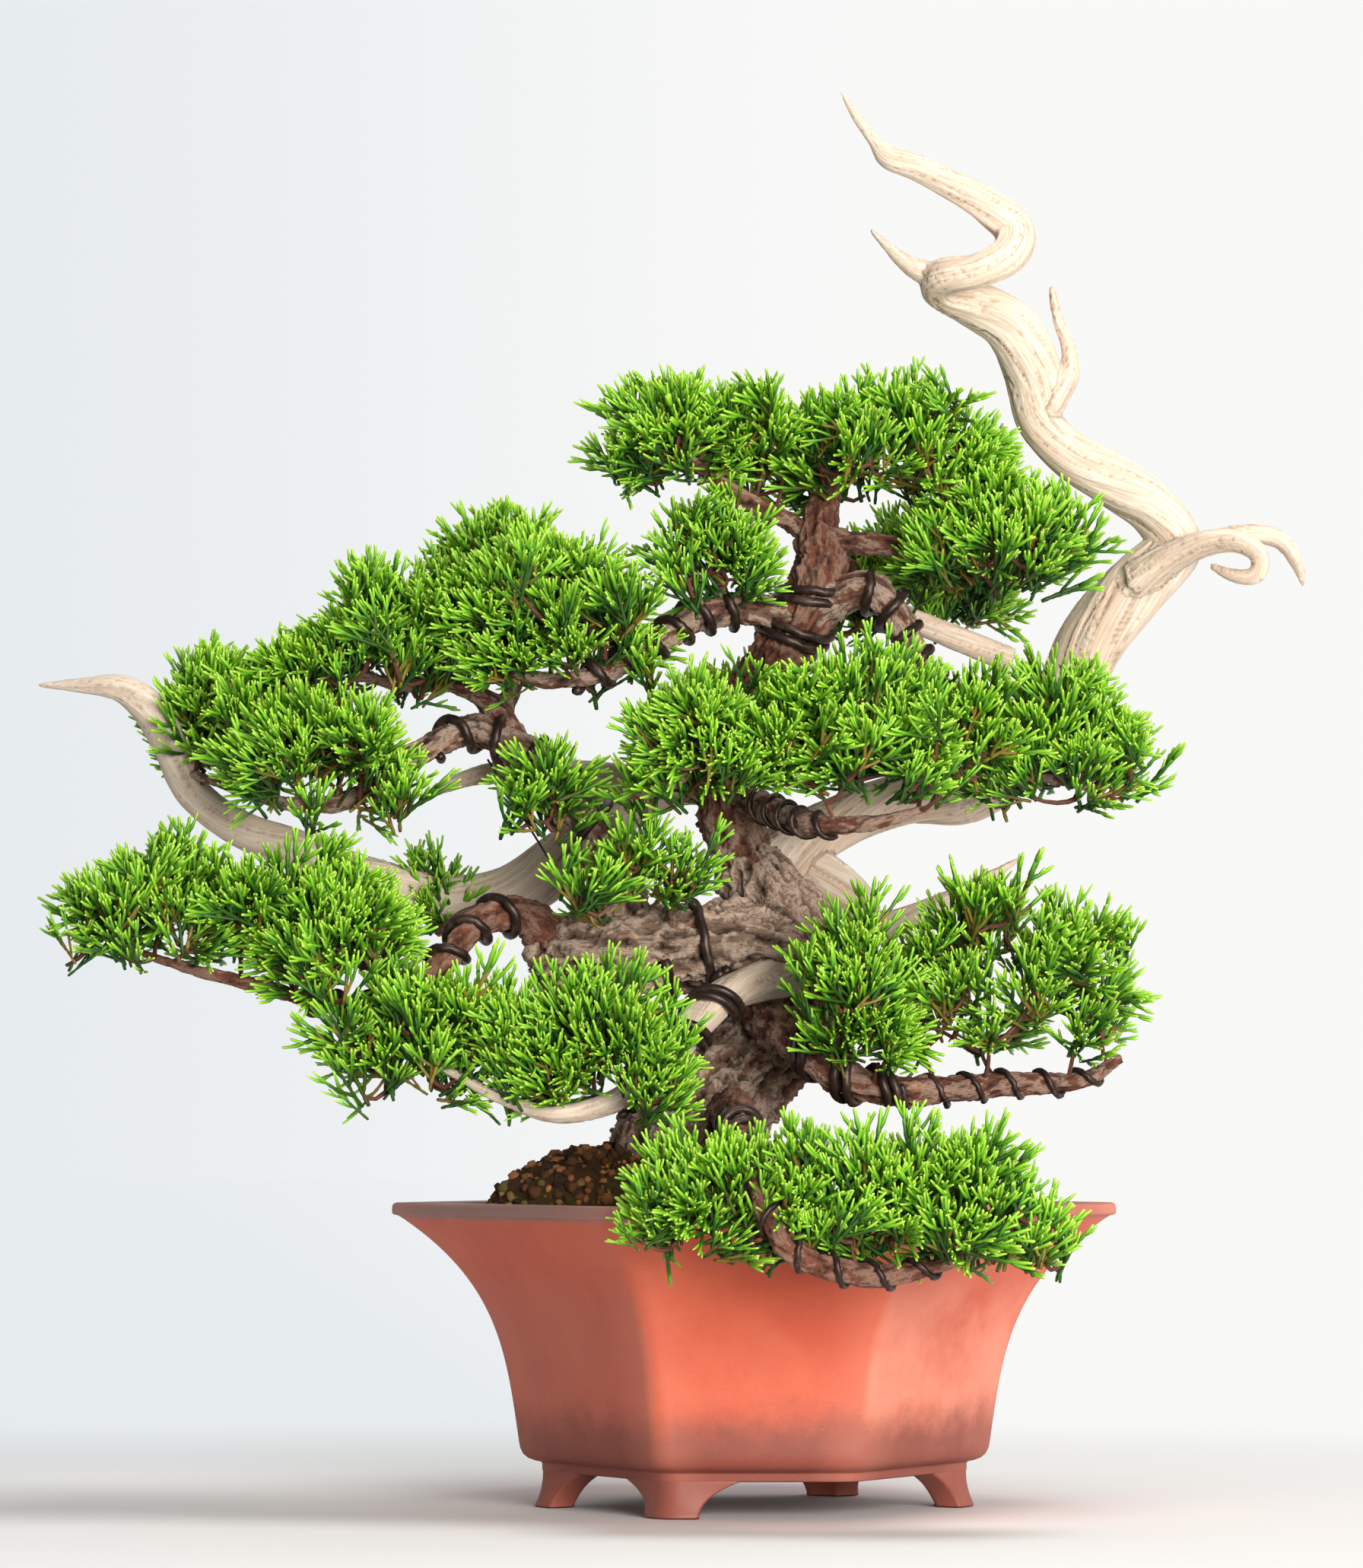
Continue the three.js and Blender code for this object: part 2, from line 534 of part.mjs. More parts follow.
const padBelly = 0.22; // share of a pad's height that lies below its widest line

function padSolid({ at: [x, y, z], half: [halfX, halfY], tall }, grow = 0) {
  const geometry = new THREE.SphereGeometry(1, 8, 5);
  const belly = tall * padBelly * treeScale;
  const dome = tall * (1 - padBelly) * treeScale;
  geometry.rotateX(Math.PI / 2);
  const place = geometry.attributes.position;
  for (let i = 0; i < place.count; i += 1) {
    const height = place.getZ(i);
    place.setXYZ(
      i,
      x * treeScale + place.getX(i) * (halfX * treeScale + grow),
      y * treeScale + place.getY(i) * (halfY * treeScale + grow),
      potHeight + z * treeScale + belly + height * ((height > 0 ? dome : belly) + grow),
    );
  }
  return solidFromGeometry(geometry);
}

// ---------------------------------------------------------------- assembly
const soilTop = potHeight - soilDrop;
const trunk = stemSolid(trunkRoutes);
const trunkEnvelope = stemSolid(trunkRoutes, clearance);

const shield = potShield(clearance);
addPiece('pot', makePot(), fired_clay, shield);

const screens = drainPlaces.map((x) => {
  const makeScreen = (grow) => {
    const size = screenSize + 2 * grow;
    const geometry = new THREE.BoxGeometry(size, size, screenThickness + 2 * grow);
    geometry.translate(x, 0, floorTop + clearance + screenThickness / 2);
    return solidFromGeometry(geometry);
  };
  return { solid: makeScreen(0), envelope: makeScreen(clearance) };
});
addPiece('drain_screen_left', screens[0].solid, screen_black, screens[0].envelope);
addPiece('drain_screen_right', screens[1].solid, screen_black, screens[1].envelope);

const soil = insideStack(floorTop + clearance, soilTop, clearance * cornerGrowth);
const soilEnvelope = insideStack(floorTop, soilTop + clearance, 0);
const soilPockets = [trunkEnvelope, screens[0].envelope, screens[1].envelope];
addPiece('soil_bed', clearOf(soil, soilPockets), soil_brown, soilEnvelope);

addPiece('trunk', trunk, bark, trunkEnvelope);

// The mound of roots and moss round the trunk's foot, flat underneath, inside the rim.
const mound = { at: [-34, 0], half: [39, 34] };

function moundSolid(grow = 0) {
  const geometry = new THREE.SphereGeometry(1, 10, 6);
  geometry.rotateX(Math.PI / 2);
  const place = geometry.attributes.position;
  for (let i = 0; i < place.count; i += 1) {
    place.setXYZ(
      i,
      (mound.at[0] + place.getX(i) * mound.half[0]) * treeScale + place.getX(i) * grow,
      (mound.at[1] + place.getY(i) * mound.half[1]) * treeScale + place.getY(i) * grow,
      soilTop + clearance + Math.max(place.getZ(i), 0) * (moundHeight + grow),
    );
  }
  const inset = (clearance - grow) * cornerGrowth;
  const room = insideStack(soilTop, potHeight + moundHeight + grow, inset);
  return solidFromGeometry(geometry).intersect(room);
}
const moundEnvelope = moundSolid(clearance);
addPiece('root_mound', clearOf(moundSolid(), [trunkEnvelope]), soil_brown, moundEnvelope);

const wood = [trunkEnvelope];
Object.entries(stems).forEach(([name, { wood: material, routes }]) => {
  const envelope = stemSolid(routes, clearance);
  const others = [...wood, shield, soilEnvelope, moundEnvelope];
  addPiece(name, clearOf(stemSolid(routes), others), material, envelope);
  wood.push(envelope);
});

Object.entries(windings).forEach(([name, winding]) => {
  const coil = woundWire(winding);
  const solid = clearOf(sweep(coil, wireSides), wood);
  addPiece(name, solid, wire_brown, windingSleeve(winding));
});

const guySamples = stemSamples(guyRoute);
addPiece('guy_wire', clearOf(sweep(guySamples, 4), settled), wire_brown, sweep(guySamples, 4, clearance));

Object.entries(pads).forEach(([name, pad]) => {
  addPiece(`foliage_${name}`, clearOf(padSolid(pad), settled), juniper_green, padSolid(pad, clearance));
});

// The part's own origin is on the table, under the middle of the whole tree and pot.
const box = new THREE.Box3().setFromObject(group);
group.position.set(-(box.min.x + box.max.x) / 2, -(box.min.y + box.max.y) / 2, -box.min.z);

export default group;
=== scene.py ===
# A juniper bonsai with bleached deadwood, growing in a flared hexagonal pot of unglazed red clay.
import math

import bmesh
import bpy
import numpy as np
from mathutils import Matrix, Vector, noise


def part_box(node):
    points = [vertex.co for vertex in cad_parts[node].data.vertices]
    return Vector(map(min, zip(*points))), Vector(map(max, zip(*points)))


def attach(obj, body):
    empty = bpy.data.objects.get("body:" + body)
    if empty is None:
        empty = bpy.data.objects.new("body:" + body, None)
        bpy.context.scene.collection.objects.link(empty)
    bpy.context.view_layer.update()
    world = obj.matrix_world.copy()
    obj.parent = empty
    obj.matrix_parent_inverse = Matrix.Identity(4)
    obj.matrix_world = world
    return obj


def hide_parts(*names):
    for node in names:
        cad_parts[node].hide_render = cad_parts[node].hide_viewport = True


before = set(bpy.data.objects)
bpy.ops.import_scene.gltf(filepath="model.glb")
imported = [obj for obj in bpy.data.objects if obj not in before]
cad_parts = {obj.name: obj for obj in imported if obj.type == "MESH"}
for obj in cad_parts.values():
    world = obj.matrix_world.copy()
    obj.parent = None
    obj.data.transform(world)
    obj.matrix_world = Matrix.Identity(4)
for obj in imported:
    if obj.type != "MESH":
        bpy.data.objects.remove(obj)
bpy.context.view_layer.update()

# ---------------------------------------------------------------- Where things are
# The camera stands a good arm's length and a half in front of the pot, a little above its rim,
# and looks slightly upwards, as a bonsai is shown. Every place below is measured from the pot.
MM = 0.001
pot_low, pot_high = (np.array(corner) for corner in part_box("pot"))
rim_middle = np.array([*((pot_low + pot_high) / 2)[:2], pot_high[2]])

camera_distance = 1.582
camera_left = 0.0199
camera_height = 0.1042
camera_data = bpy.data.cameras.new("camera")
camera_data.lens = 132.7
camera_data.sensor_width = 36
camera = bpy.data.objects.new("camera", camera_data)
camera.location = (rim_middle[0] - camera_left, rim_middle[1] - camera_distance, camera_height)
camera.rotation_euler = (math.radians(93.35), 0, 0)
bpy.context.collection.objects.link(camera)
bpy.context.scene.camera = camera


# ---------------------------------------------------------------- Pot
# The pot is slab-built from iron-rich clay, fired unglazed: a long hexagon whose sides sweep out to
# an upright lip, on a thin moulding with four cloud-cut feet. It is darker low down.
def add_mesh(name, vertices, faces, smooth=True):
    mesh = bpy.data.meshes.new(name)
    mesh.from_pydata([tuple(v) for v in vertices], [], [tuple(f) for f in faces])
    mesh.polygons.foreach_set("use_smooth", [smooth] * len(mesh.polygons))
    piece = bpy.data.objects.new(name, mesh)
    bpy.context.collection.objects.link(piece)
    return piece


def add_values(piece, name, values):
    kind = "FLOAT" if values.ndim == 1 else "FLOAT_VECTOR"
    attribute = piece.data.attributes.new(name, kind, "POINT")
    field = "value" if values.ndim == 1 else "vector"
    attribute.data.foreach_set(field, np.ascontiguousarray(values, dtype=np.float32).ravel())


def bake_shape(piece):
    """Replaces a piece's mesh by what its modifiers make of it."""
    bpy.context.view_layer.update()
    shaped = piece.evaluated_get(bpy.context.evaluated_depsgraph_get())
    mesh = bpy.data.meshes.new_from_object(shaped)
    piece.modifiers.clear()
    piece.data = mesh
    return mesh


def ring_quads(rings, around):
    """Four-cornered faces that join each ring of points to the next one."""
    start = np.arange(rings - 1)[:, None] * around
    here = np.arange(around)
    beside = (here + 1) % around
    quads = [start + here, start + beside, start + beside + around, start + here + around]
    return np.stack(quads, axis=-1).reshape(-1, 4)


def capped(rings, around, first=0):
    """Faces of a closed stack of rings whose points count from the first, with a flat cap at each end."""
    last = first + (rings - 1) * around
    walls = (ring_quads(rings, around) + first).tolist()
    return walls + [list(range(first + around - 1, first - 1, -1)), list(range(last, last + around))]


def dress(piece, finish, slot, *stands_for):
    """Gives a piece its finish, and fixes it in the place of the plain solids it stands for."""
    piece.data.materials.clear()
    piece.data.materials.append(finish.material)
    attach(piece, "root")
    if stands_for:
        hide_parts(*stands_for)


class Wire:
    """A value that runs from one node to another, with sums written as Python sums."""

    def __init__(self, finish, socket):
        self.finish = finish
        self.socket = socket

    def math(self, operation, other, swapped=False):
        first, second = (other, self) if swapped else (self, other)
        return self.finish.node("ShaderNodeMath", {"operation": operation}, {0: first, 1: second})

    def __add__(self, other):
        return self.math("ADD", other)

    def __sub__(self, other):
        return self.math("SUBTRACT", other)

    def __rsub__(self, other):
        return self.math("SUBTRACT", other, swapped=True)

    def __mul__(self, other):
        return self.math("MULTIPLY", other)

    __radd__ = __add__
    __rmul__ = __mul__


class Finish:
    """One surface finish: it adds nodes, and feeds the shader's sockets."""

    def __init__(self, name, **fixed):
        self.material = bpy.data.materials.new(name)
        self.material.use_nodes = True
        self.tree = self.material.node_tree
        self.shader = self.tree.nodes["Principled BSDF"]
        self.feed(self.shader, {key.replace("_", " "): value for key, value in fixed.items()})

    @classmethod
    def of_room(cls, world):
        """The same helpers for the light that comes from all round."""
        room = cls.__new__(cls)
        room.tree = world.node_tree
        return room

    @staticmethod
    def socket_of(sockets, key):
        if isinstance(key, int):
            return sockets[key]
        return next((s for s in sockets if s.identifier == key), None) or sockets[key]

    def feed(self, node, values):
        for key, value in values.items():
            socket = self.socket_of(node.inputs, key)
            if isinstance(value, Wire):
                self.tree.links.new(value.socket, socket)
            elif isinstance(value, tuple) and len(value) == 3 and socket.type == "RGBA":
                socket.default_value = (*value, 1)
            else:
                socket.default_value = value

    def node(self, kind, settings=None, values=None, result=0):
        added = self.tree.nodes.new(kind)
        for key, value in (settings or {}).items():
            if key == "stops":
                stops = added.color_ramp.elements
                while len(stops) < len(value):
                    stops.new(1)
                for stop, (place, colour) in zip(stops, value):
                    stop.position = place
                    stop.color = (*colour, 1)
            else:
                setattr(added, key, value)
        self.feed(added, values or {})
        return Wire(self, self.socket_of(added.outputs, result))

    def blend(self, share, first, second):
        values = {"Factor_Float": share, "A_Color": first, "B_Color": second}
        return self.node("ShaderNodeMix", {"data_type": "RGBA"}, values, "Result_Color")

    def noise(self, place, scale, detail=4.0, roughness=0.6):
        values = {"Vector": place, "Scale": scale, "Detail": detail, "Roughness": roughness}
        return self.node("ShaderNodeTexNoise", None, values, "Fac")

    def step(self, value, low, high):
        values = {"Value": value, "From Min": low, "From Max": high}
        return self.node("ShaderNodeMapRange", {"interpolation_type": "SMOOTHSTEP"}, values)

    def relief(self, height, distance, strength=1.0):
        values = {"Height": height, "Distance": distance, "Strength": strength}
        return self.node("ShaderNodeBump", None, values)

    def stretch(self, place, factors):
        return self.node("ShaderNodeVectorMath", {"operation": "MULTIPLY"}, {0: place, 1: factors})

    def attribute(self, name, result="Fac"):
        return self.node("ShaderNodeAttribute", {"attribute_name": name}, None, result)

    def place(self, result="Object"):
        return self.node("ShaderNodeTexCoord", result=result)

    def part(self, vector, axis):
        return self.node("ShaderNodeSeparateXYZ", None, {0: vector}, axis)


front_corner = 0.4215
front_depth = 0.866
pot_turn = math.radians(0.9)
flat_corners = [(-1, 0), (-front_corner, -front_depth), (front_corner, -front_depth),
                (1, 0), (front_corner, front_depth), (-front_corner, front_depth)]
turn_matrix = np.array([[math.cos(pot_turn), -math.sin(pot_turn)],
                        [math.sin(pot_turn), math.cos(pot_turn)]])
hex_corners = [turn_matrix @ np.array(corner) for corner in flat_corners]
pot_top = float(pot_high[2])
foot_height = 0.0095
shoulder_height = 0.0158
shoulder_radius = 0.0651
flare_radius = 0.0985
flare_power = 3.6
side_lean = 0.009
lip_depth = 0.0034
wall = 0.0077
opening_radius = 0.0890
edge_rounding = 0.0042


def sides_at(corner):
    here = hex_corners[corner]
    before = hex_corners[corner - 1] - here
    after = hex_corners[(corner + 1) % 6] - here
    return before / np.linalg.norm(before), after / np.linalg.norm(after)


def corner_point(tip, before, after, rounding, t):
    """A point on the soft curve round a corner, from one side at 0 to the other at 1."""
    soft = (1 - t) ** 2 * (tip + before * rounding) + t * t * (tip + after * rounding)
    return soft + 2 * t * (1 - t) * tip


def hex_outline(radius, rounding, side_steps=10, corner_steps=6, bulge=0.0):
    """Points round the pot at one level, and how near each one is to an upright edge."""
    points = []
    edges = []
    for corner in range(6):
        tip = hex_corners[corner] * radius
        before, after = sides_at(corner)
        for step in range(corner_steps + 1):
            points.append(corner_point(tip, before, after, rounding, step / corner_steps))
            edges.append(1.0)
        start = tip + after * rounding
        finish = hex_corners[(corner + 1) % 6] * radius - after * rounding
        outward = np.array([after[1], -after[0]])
        for step in range(1, side_steps):
            t = step / side_steps
            points.append(start + (finish - start) * t + outward * bulge * math.sin(math.pi * t))
            edges.append(max(0.0, 1 - min(t, 1 - t) * side_steps * 0.5))
    return np.array(points), np.array(edges)


def side_radius(height):
    """The straight lean of the side, with the flare that comes in towards the lip."""
    rise = max(height - shoulder_height, 0) / (pot_top - lip_depth - shoulder_height)
    flare = flare_radius - shoulder_radius - side_lean
    return shoulder_radius + side_lean * rise + flare * rise ** flare_power


side_levels = np.linspace(0.0175, pot_top - 0.0044, 34)
outside = [(0.0095, 0.0585), (0.0099, 0.0590), (0.0116, 0.0590), (0.0121, 0.0594), (0.0124, 0.0610),
           (0.0131, 0.0629), (0.0142, 0.0642), (0.0158, 0.0650)]
outside += [(z, side_radius(z)) for z in side_levels]
lip = [(-0.0038, 0.0980), (-0.0035, 0.0986), (-0.0033, 0.0995), (-0.0030, 0.1000), (-0.0022, 0.1001),
       (-0.0010, 0.1000), (-0.0005, 0.0998), (-0.0002, 0.0994), (0.0, 0.0989), (0.0001, 0.0950),
       (0.0, 0.0908), (-0.0003, 0.0900), (-0.0009, 0.0896), (-0.0040, 0.0893)]
outside += [(pot_top + rise, radius) for rise, radius in lip]
inside_levels = np.linspace(pot_top - 0.008, 0.020, 12)
inside = [(z, min(side_radius(z) - wall, opening_radius)) for z in inside_levels]
inside += [(0.0172, 0.0560), (0.0165, 0.0530)]
pot_vertices = []
pot_edges = []
for z, radius in outside + inside:
    swell = 0.0006 if z > 0.013 else 0.0
    rounding = edge_rounding if (z, radius) in outside else 0.009
    ring, edges = hex_outline(radius, rounding, bulge=swell)
    pot_vertices += [(rim_middle[0] + x, rim_middle[1] + y, z) for x, y in ring]
    pot_edges += list(edges)
pot_body = add_mesh("pot_body", pot_vertices, capped(len(outside + inside), len(ring)))
heights = np.array([v[2] for v in pot_vertices])
add_values(pot_body, "edge", np.maximum(pot_edges, (heights > pot_top - 0.0006) * 0.8))

drain_spacing = 0.050
drain_radius = 0.007
drain_sides = 32
for side in (-1, 1):
    angles = np.linspace(0, 2 * math.pi, drain_sides, endpoint=False)
    x = rim_middle[0] + side * drain_spacing / 2
    circle = [(x + drain_radius * math.cos(a), rim_middle[1] + drain_radius * math.sin(a)) for a in angles]
    bore = [(*p, z) for z in (0.0, 0.03) for p in circle]
    drill = add_mesh("drill", bore, capped(2, drain_sides))
    cut = pot_body.modifiers.new("drain", "BOOLEAN")
    cut.object = drill
    cut.operation = "DIFFERENCE"
    bake_shape(pot_body)
    bpy.data.objects.remove(drill)


def foot_outline(corner, height):
    """An L that wraps one corner: its legs are short on the table and long under the pot."""
    share = min(height / foot_height, 1.0)
    leg = 0.0096 + 0.010 * share ** 2.6
    radius = 0.0588 + 0.0024 * (1 - share) ** 2.2 - 0.0005 * (height < 0.0004)
    before, after = sides_at(corner)
    tip = hex_corners[corner] * radius
    inward = -hex_corners[corner] / np.linalg.norm(hex_corners[corner])
    depth = 0.0085

    def at(side, along, deep):
        across = inward - side * inward.dot(side)
        return tip + side * along + across / np.linalg.norm(across) * deep

    points = [at(before, leg - 0.0012, depth), at(before, leg, depth - 0.0014), at(before, leg, 0.0012)]
    points.append(at(before, leg - 0.001, 0))
    points += [corner_point(tip, before, after, edge_rounding, t) for t in np.linspace(0, 1, 7)]
    points += [at(after, leg - 0.001, 0), at(after, leg, 0.0012), at(after, leg, depth - 0.0014)]
    points.append(at(after, leg - 0.0012, depth))
    points.append(tip + inward * depth / math.sin(math.acos(before.dot(inward))))
    return points


foot_levels = [0.0, 0.0004, 0.0012, 0.0024, 0.0038, 0.0052, 0.0064, 0.0074, 0.0083, 0.0090, foot_height,
               0.0103]
foot_vertices = []
foot_faces = []
for corner in (0, 1, 3, 4):
    first = len(foot_vertices)
    for z in foot_levels:
        foot_vertices += [(rim_middle[0] + x, rim_middle[1] + y, z) for x, y in foot_outline(corner, z)]
    foot_faces += capped(len(foot_levels), (len(foot_vertices) - first) // len(foot_levels), first)
pot_feet = add_mesh("pot_feet", foot_vertices, foot_faces)
add_values(pot_feet, "edge", np.full(len(foot_vertices), 0.35))
for piece in (pot_body, pot_feet):
    soften = piece.modifiers.new("crisp_edges", "WEIGHTED_NORMAL")
    soften.keep_sharp = True
    bake_shape(piece)

clay = Finish("fired_clay", Specular_IOR_Level=0.45)
clay_place = clay.place()
clay_split = clay.part(clay_place, "Z")
clay_patches = clay.noise(clay_place, 26.0, 5.0, 0.62)
clay_clouds = clay.noise(clay_place, 75.0, 6.0, 0.7)
clay_specks = clay.noise(clay_place, 1500.0, 3.0, 0.7)
clay_colour = clay.blend(clay.step(clay_patches, 0.35, 0.7), (0.485, 0.074, 0.033), (0.55, 0.105, 0.049))
clay_facing = clay.place("Normal")


def faces_toward(finish, facing, way):
    """One where the surface faces a way, nought a sixth of a turn from it."""
    dot = finish.node("ShaderNodeVectorMath", {"operation": "DOT_PRODUCT"}, {0: facing, 1: way}, "Value")
    return finish.step(dot, 0.72, 0.96)


# Painted sheen: the sides facing the right front turn paler and greyer in patches, as if they reflect the
# bright room.
clay_painted_sheen = faces_toward(clay, clay_facing, (0.83, -0.55, 0.05)) * clay.step(clay_patches, 0.25, 0.62)
clay_colour = clay.blend(clay_painted_sheen * 0.75, clay_colour, (0.68, 0.245, 0.165))
# Painted shade: the sides facing the left front are darker brown.
clay_painted_shade = faces_toward(clay, clay_facing, (-0.83, -0.55, 0.05))
clay_colour = clay.blend(clay_painted_shade * 0.45, clay_colour, (0.38, 0.135, 0.095))
# Darker towards the bottom, mottled by the clouds and patches.
low_down = 1 - clay.step(clay_split, 0.015, 0.040)
low_darkening = clay.step(low_down * 0.85 + clay_clouds * 0.8 + clay_patches * 0.35, 0.75, 1.45)
clay_colour = clay.blend(low_darkening * 0.95, clay_colour, (0.20, 0.050, 0.033))
clay_across = clay.part(clay_place, "X")
rim_band = clay.step(clay_split, pot_top - 0.0046, pot_top - 0.0036)
clay_colour = clay.blend(rim_band * 0.55, clay_colour, (0.30, 0.115, 0.085))
rim_left = rim_band * (1 - clay.step(clay_across + clay_patches * 0.06, -0.015, 0.060))
clay_colour = clay.blend(rim_left * 0.75, clay_colour, (0.20, 0.135, 0.120))
clay_colour = clay.blend(clay.step(clay_specks, 0.62, 0.78) * 0.35, clay_colour, (0.75, 0.30, 0.19))
clay_colour = clay.blend(clay.step(clay_specks, 0.40, 0.28) * 0.25, clay_colour, (0.18, 0.04, 0.025))
# Corners, the lip's top and the feet are lighter: partly rubbed wear, partly a painted highlight.
clay_colour = clay.blend(clay.attribute("edge") * 0.14, clay_colour, (0.80, 0.28, 0.18))
clay.feed(clay.shader, {
    "Base Color": clay_colour,
    "Roughness": 0.44 + clay_clouds * 0.22,
    "Normal": clay.relief(clay_clouds * 0.6 + clay_specks * 0.25, 0.0004, 0.5),
})
for piece in (pot_body, pot_feet):
    dress(piece, clay, "fired_clay", "pot")


# ---------------------------------------------------------------- Drainage screens
# A square of black plastic net lies over each drainage hole, under the soil.
net = Finish("screen_plastic", Roughness=0.6)
net_place = net.place()
net_weave = net.noise(net_place, 900.0, 2.0)
net.feed(net.shader, {"Base Color": net.blend(net_weave, (0.015, 0.015, 0.014), (0.04, 0.04, 0.038))})
for name in ("drain_screen_left", "drain_screen_right"):
    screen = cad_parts[name]
    screen.data.materials.clear()
    screen.data.materials.append(net.material)


# ---------------------------------------------------------------- Soil
# The bed is hard-baked clay grain, sieved to about four millimetres, over finer soil. Grains lie
# loose on top.
def lump(rng, subdivisions):
    """A rough grain of unit radius: an icosphere with every corner pushed about."""
    shape = bmesh.new()
    bmesh.ops.create_icosphere(shape, subdivisions=subdivisions, radius=1)
    offset = Vector(rng.uniform(-50, 50, 3))
    for vertex in shape.verts:
        broad = 0.30 * noise.noise(vertex.co * 1.3 + offset)
        vertex.co *= 1 + broad + 0.12 * noise.noise(vertex.co * 3.1 + offset)
    vertices = np.array([v.co[:] for v in shape.verts])
    faces = np.array([[v.index for v in f.verts] for f in shape.faces])
    shape.free()
    return vertices, faces


def random_turns(rng, count):
    """Random rotation matrices, one for each copy."""
    q = rng.normal(size=(count, 4))
    q /= np.linalg.norm(q, axis=1)[:, None]
    w, x, y, z = q.T
    rows = [[1 - 2 * (y * y + z * z), 2 * (x * y - z * w), 2 * (x * z + y * w)],
            [2 * (x * y + z * w), 1 - 2 * (x * x + z * z), 2 * (y * z - x * w)],
            [2 * (x * z - y * w), 2 * (y * z + x * w), 1 - 2 * (x * x + y * y)]]
    return np.array(rows).transpose(2, 0, 1)


def joined(parts):
    """The points and faces of several meshes in one, with the faces renumbered."""
    points = [part[0] for part in parts]
    starts = np.cumsum([0] + [len(some) for some in points[:-1]])
    return np.concatenate(points), np.concatenate([part[1] + start for part, start in zip(parts, starts)])


def fast_mesh(name, vertices, faces):
    """Makes a large mesh whose faces all have the same number of corners."""
    mesh = bpy.data.meshes.new(name)
    corners = faces.shape[1]
    mesh.vertices.add(len(vertices))
    mesh.vertices.foreach_set("co", np.ascontiguousarray(vertices, dtype=np.float32).ravel())
    mesh.loops.add(faces.size)
    mesh.loops.foreach_set("vertex_index", np.ascontiguousarray(faces, dtype=np.int32).ravel())
    mesh.polygons.add(len(faces))
    mesh.polygons.foreach_set("loop_start", np.arange(len(faces), dtype=np.int32) * corners)
    mesh.polygons.foreach_set("use_smooth", np.ones(len(faces), dtype=bool))
    mesh.update(calc_edges=True)
    piece = bpy.data.objects.new(name, mesh)
    bpy.context.collection.objects.link(piece)
    return piece


def many(name, shapes, picks, turns, sizes, places):
    """One mesh that holds a turned, sized and placed copy of a shape for each pick."""
    points, faces = joined([(shapes[pick][0] * size @ turn.T + place, shapes[pick][1])
                            for pick, turn, size, place in zip(picks, turns, sizes, places)])
    piece = fast_mesh(name, points, faces)
    corners = len(points) // len(picks)
    add_values(piece, "tint", np.repeat(np.arange(len(picks)) * corners * 0.6180339 % 1.0, corners))
    return piece


soil_top = float(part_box("soil_bed")[1][2])
mound_low, mound_high = (np.array(corner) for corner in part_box("root_mound"))
mound_middle = (mound_low + mound_high) / 2
mound_half = (mound_high - mound_low) / 2
mound_height = float(mound_high[2] - mound_low[2])


def inside_rim(x, y, radius):
    """True where a point lies inside the pot's opening."""
    point = np.array([x - rim_middle[0], y - rim_middle[1]])
    for corner in range(6):
        here, there = hex_corners[corner] * radius, hex_corners[(corner + 1) % 6] * radius
        side = there - here
        if side[0] * (point[1] - here[1]) - side[1] * (point[0] - here[0]) < 0:
            return False
    return True


grain_count = 1500
soil_reach = 0.0855
soil_rng = np.random.default_rng(11)
grain_shapes = [lump(soil_rng, 2) for _ in range(6)]
grain_spots = []
grain_sizes = []
while len(grain_spots) < grain_count:
    x = rim_middle[0] + soil_rng.uniform(-0.088, 0.088)
    y = rim_middle[1] + soil_rng.uniform(-0.078, 0.078)
    if not inside_rim(x, y, soil_reach):
        continue
    size = soil_rng.uniform(1.2, 2.6) * MM
    grain_spots.append((x, y, soil_top + soil_rng.uniform(-0.2, 0.9) * MM))
    grain_sizes.append(size * soil_rng.uniform(0.7, 1.1, 3))
soil_grains = many("soil_grains", grain_shapes, soil_rng.integers(0, 6, grain_count),
                   random_turns(soil_rng, grain_count), grain_sizes, grain_spots)
earth = Finish("soil_grains", Roughness=0.95, Specular_IOR_Level=0.2)
earth_place = earth.place()
earth_crumbs = earth.noise(earth_place, 900.0, 5.0, 0.7)
earth_hue = earth.node("ShaderNodeValToRGB", {"stops": [
    (0.0, (0.12, 0.045, 0.02)), (0.3, (0.36, 0.12, 0.035)), (0.62, (0.46, 0.17, 0.055)),
    (0.85, (0.60, 0.28, 0.11)), (1.0, (0.22, 0.10, 0.05))]}, {0: earth.attribute("tint")})
earth.feed(earth.shader, {
    "Base Color": earth.blend(earth.step(earth_crumbs, 0.3, 0.65), (0.09, 0.035, 0.018), earth_hue),
    "Normal": earth.relief(earth_crumbs, 0.0006, 0.8),
})
dress(soil_grains, earth, "soil_grains")

fine_soil = Finish("fine_soil", Roughness=0.95, Specular_IOR_Level=0.2)
fine_place = fine_soil.place()
fine_crumbs = fine_soil.noise(fine_place, 600.0, 6.0, 0.7)
fine_soil.feed(fine_soil.shader, {
    "Base Color": fine_soil.blend(fine_crumbs, (0.05, 0.022, 0.012), (0.26, 0.11, 0.05)),
    "Normal": fine_soil.relief(fine_crumbs, 0.0015, 1.0),
})
soil_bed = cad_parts["soil_bed"]
soil_bed.data.materials.clear()
soil_bed.data.materials.append(fine_soil.material)


# ---------------------------------------------------------------- Root mound
# Surface roots, old moss and trapped grain have built a crumbly dark mound round the trunk's foot.
def fractal(points, octaves=4, gain=0.55):
    total = np.zeros(len(points))
    share = 1.0
    scaled = np.array(points, dtype=float)
    for _ in range(octaves):
        total += share * np.array([noise.noise(p) for p in scaled.tolist()])
        share *= gain
        scaled = scaled * 2.03 + 7.1
    return total


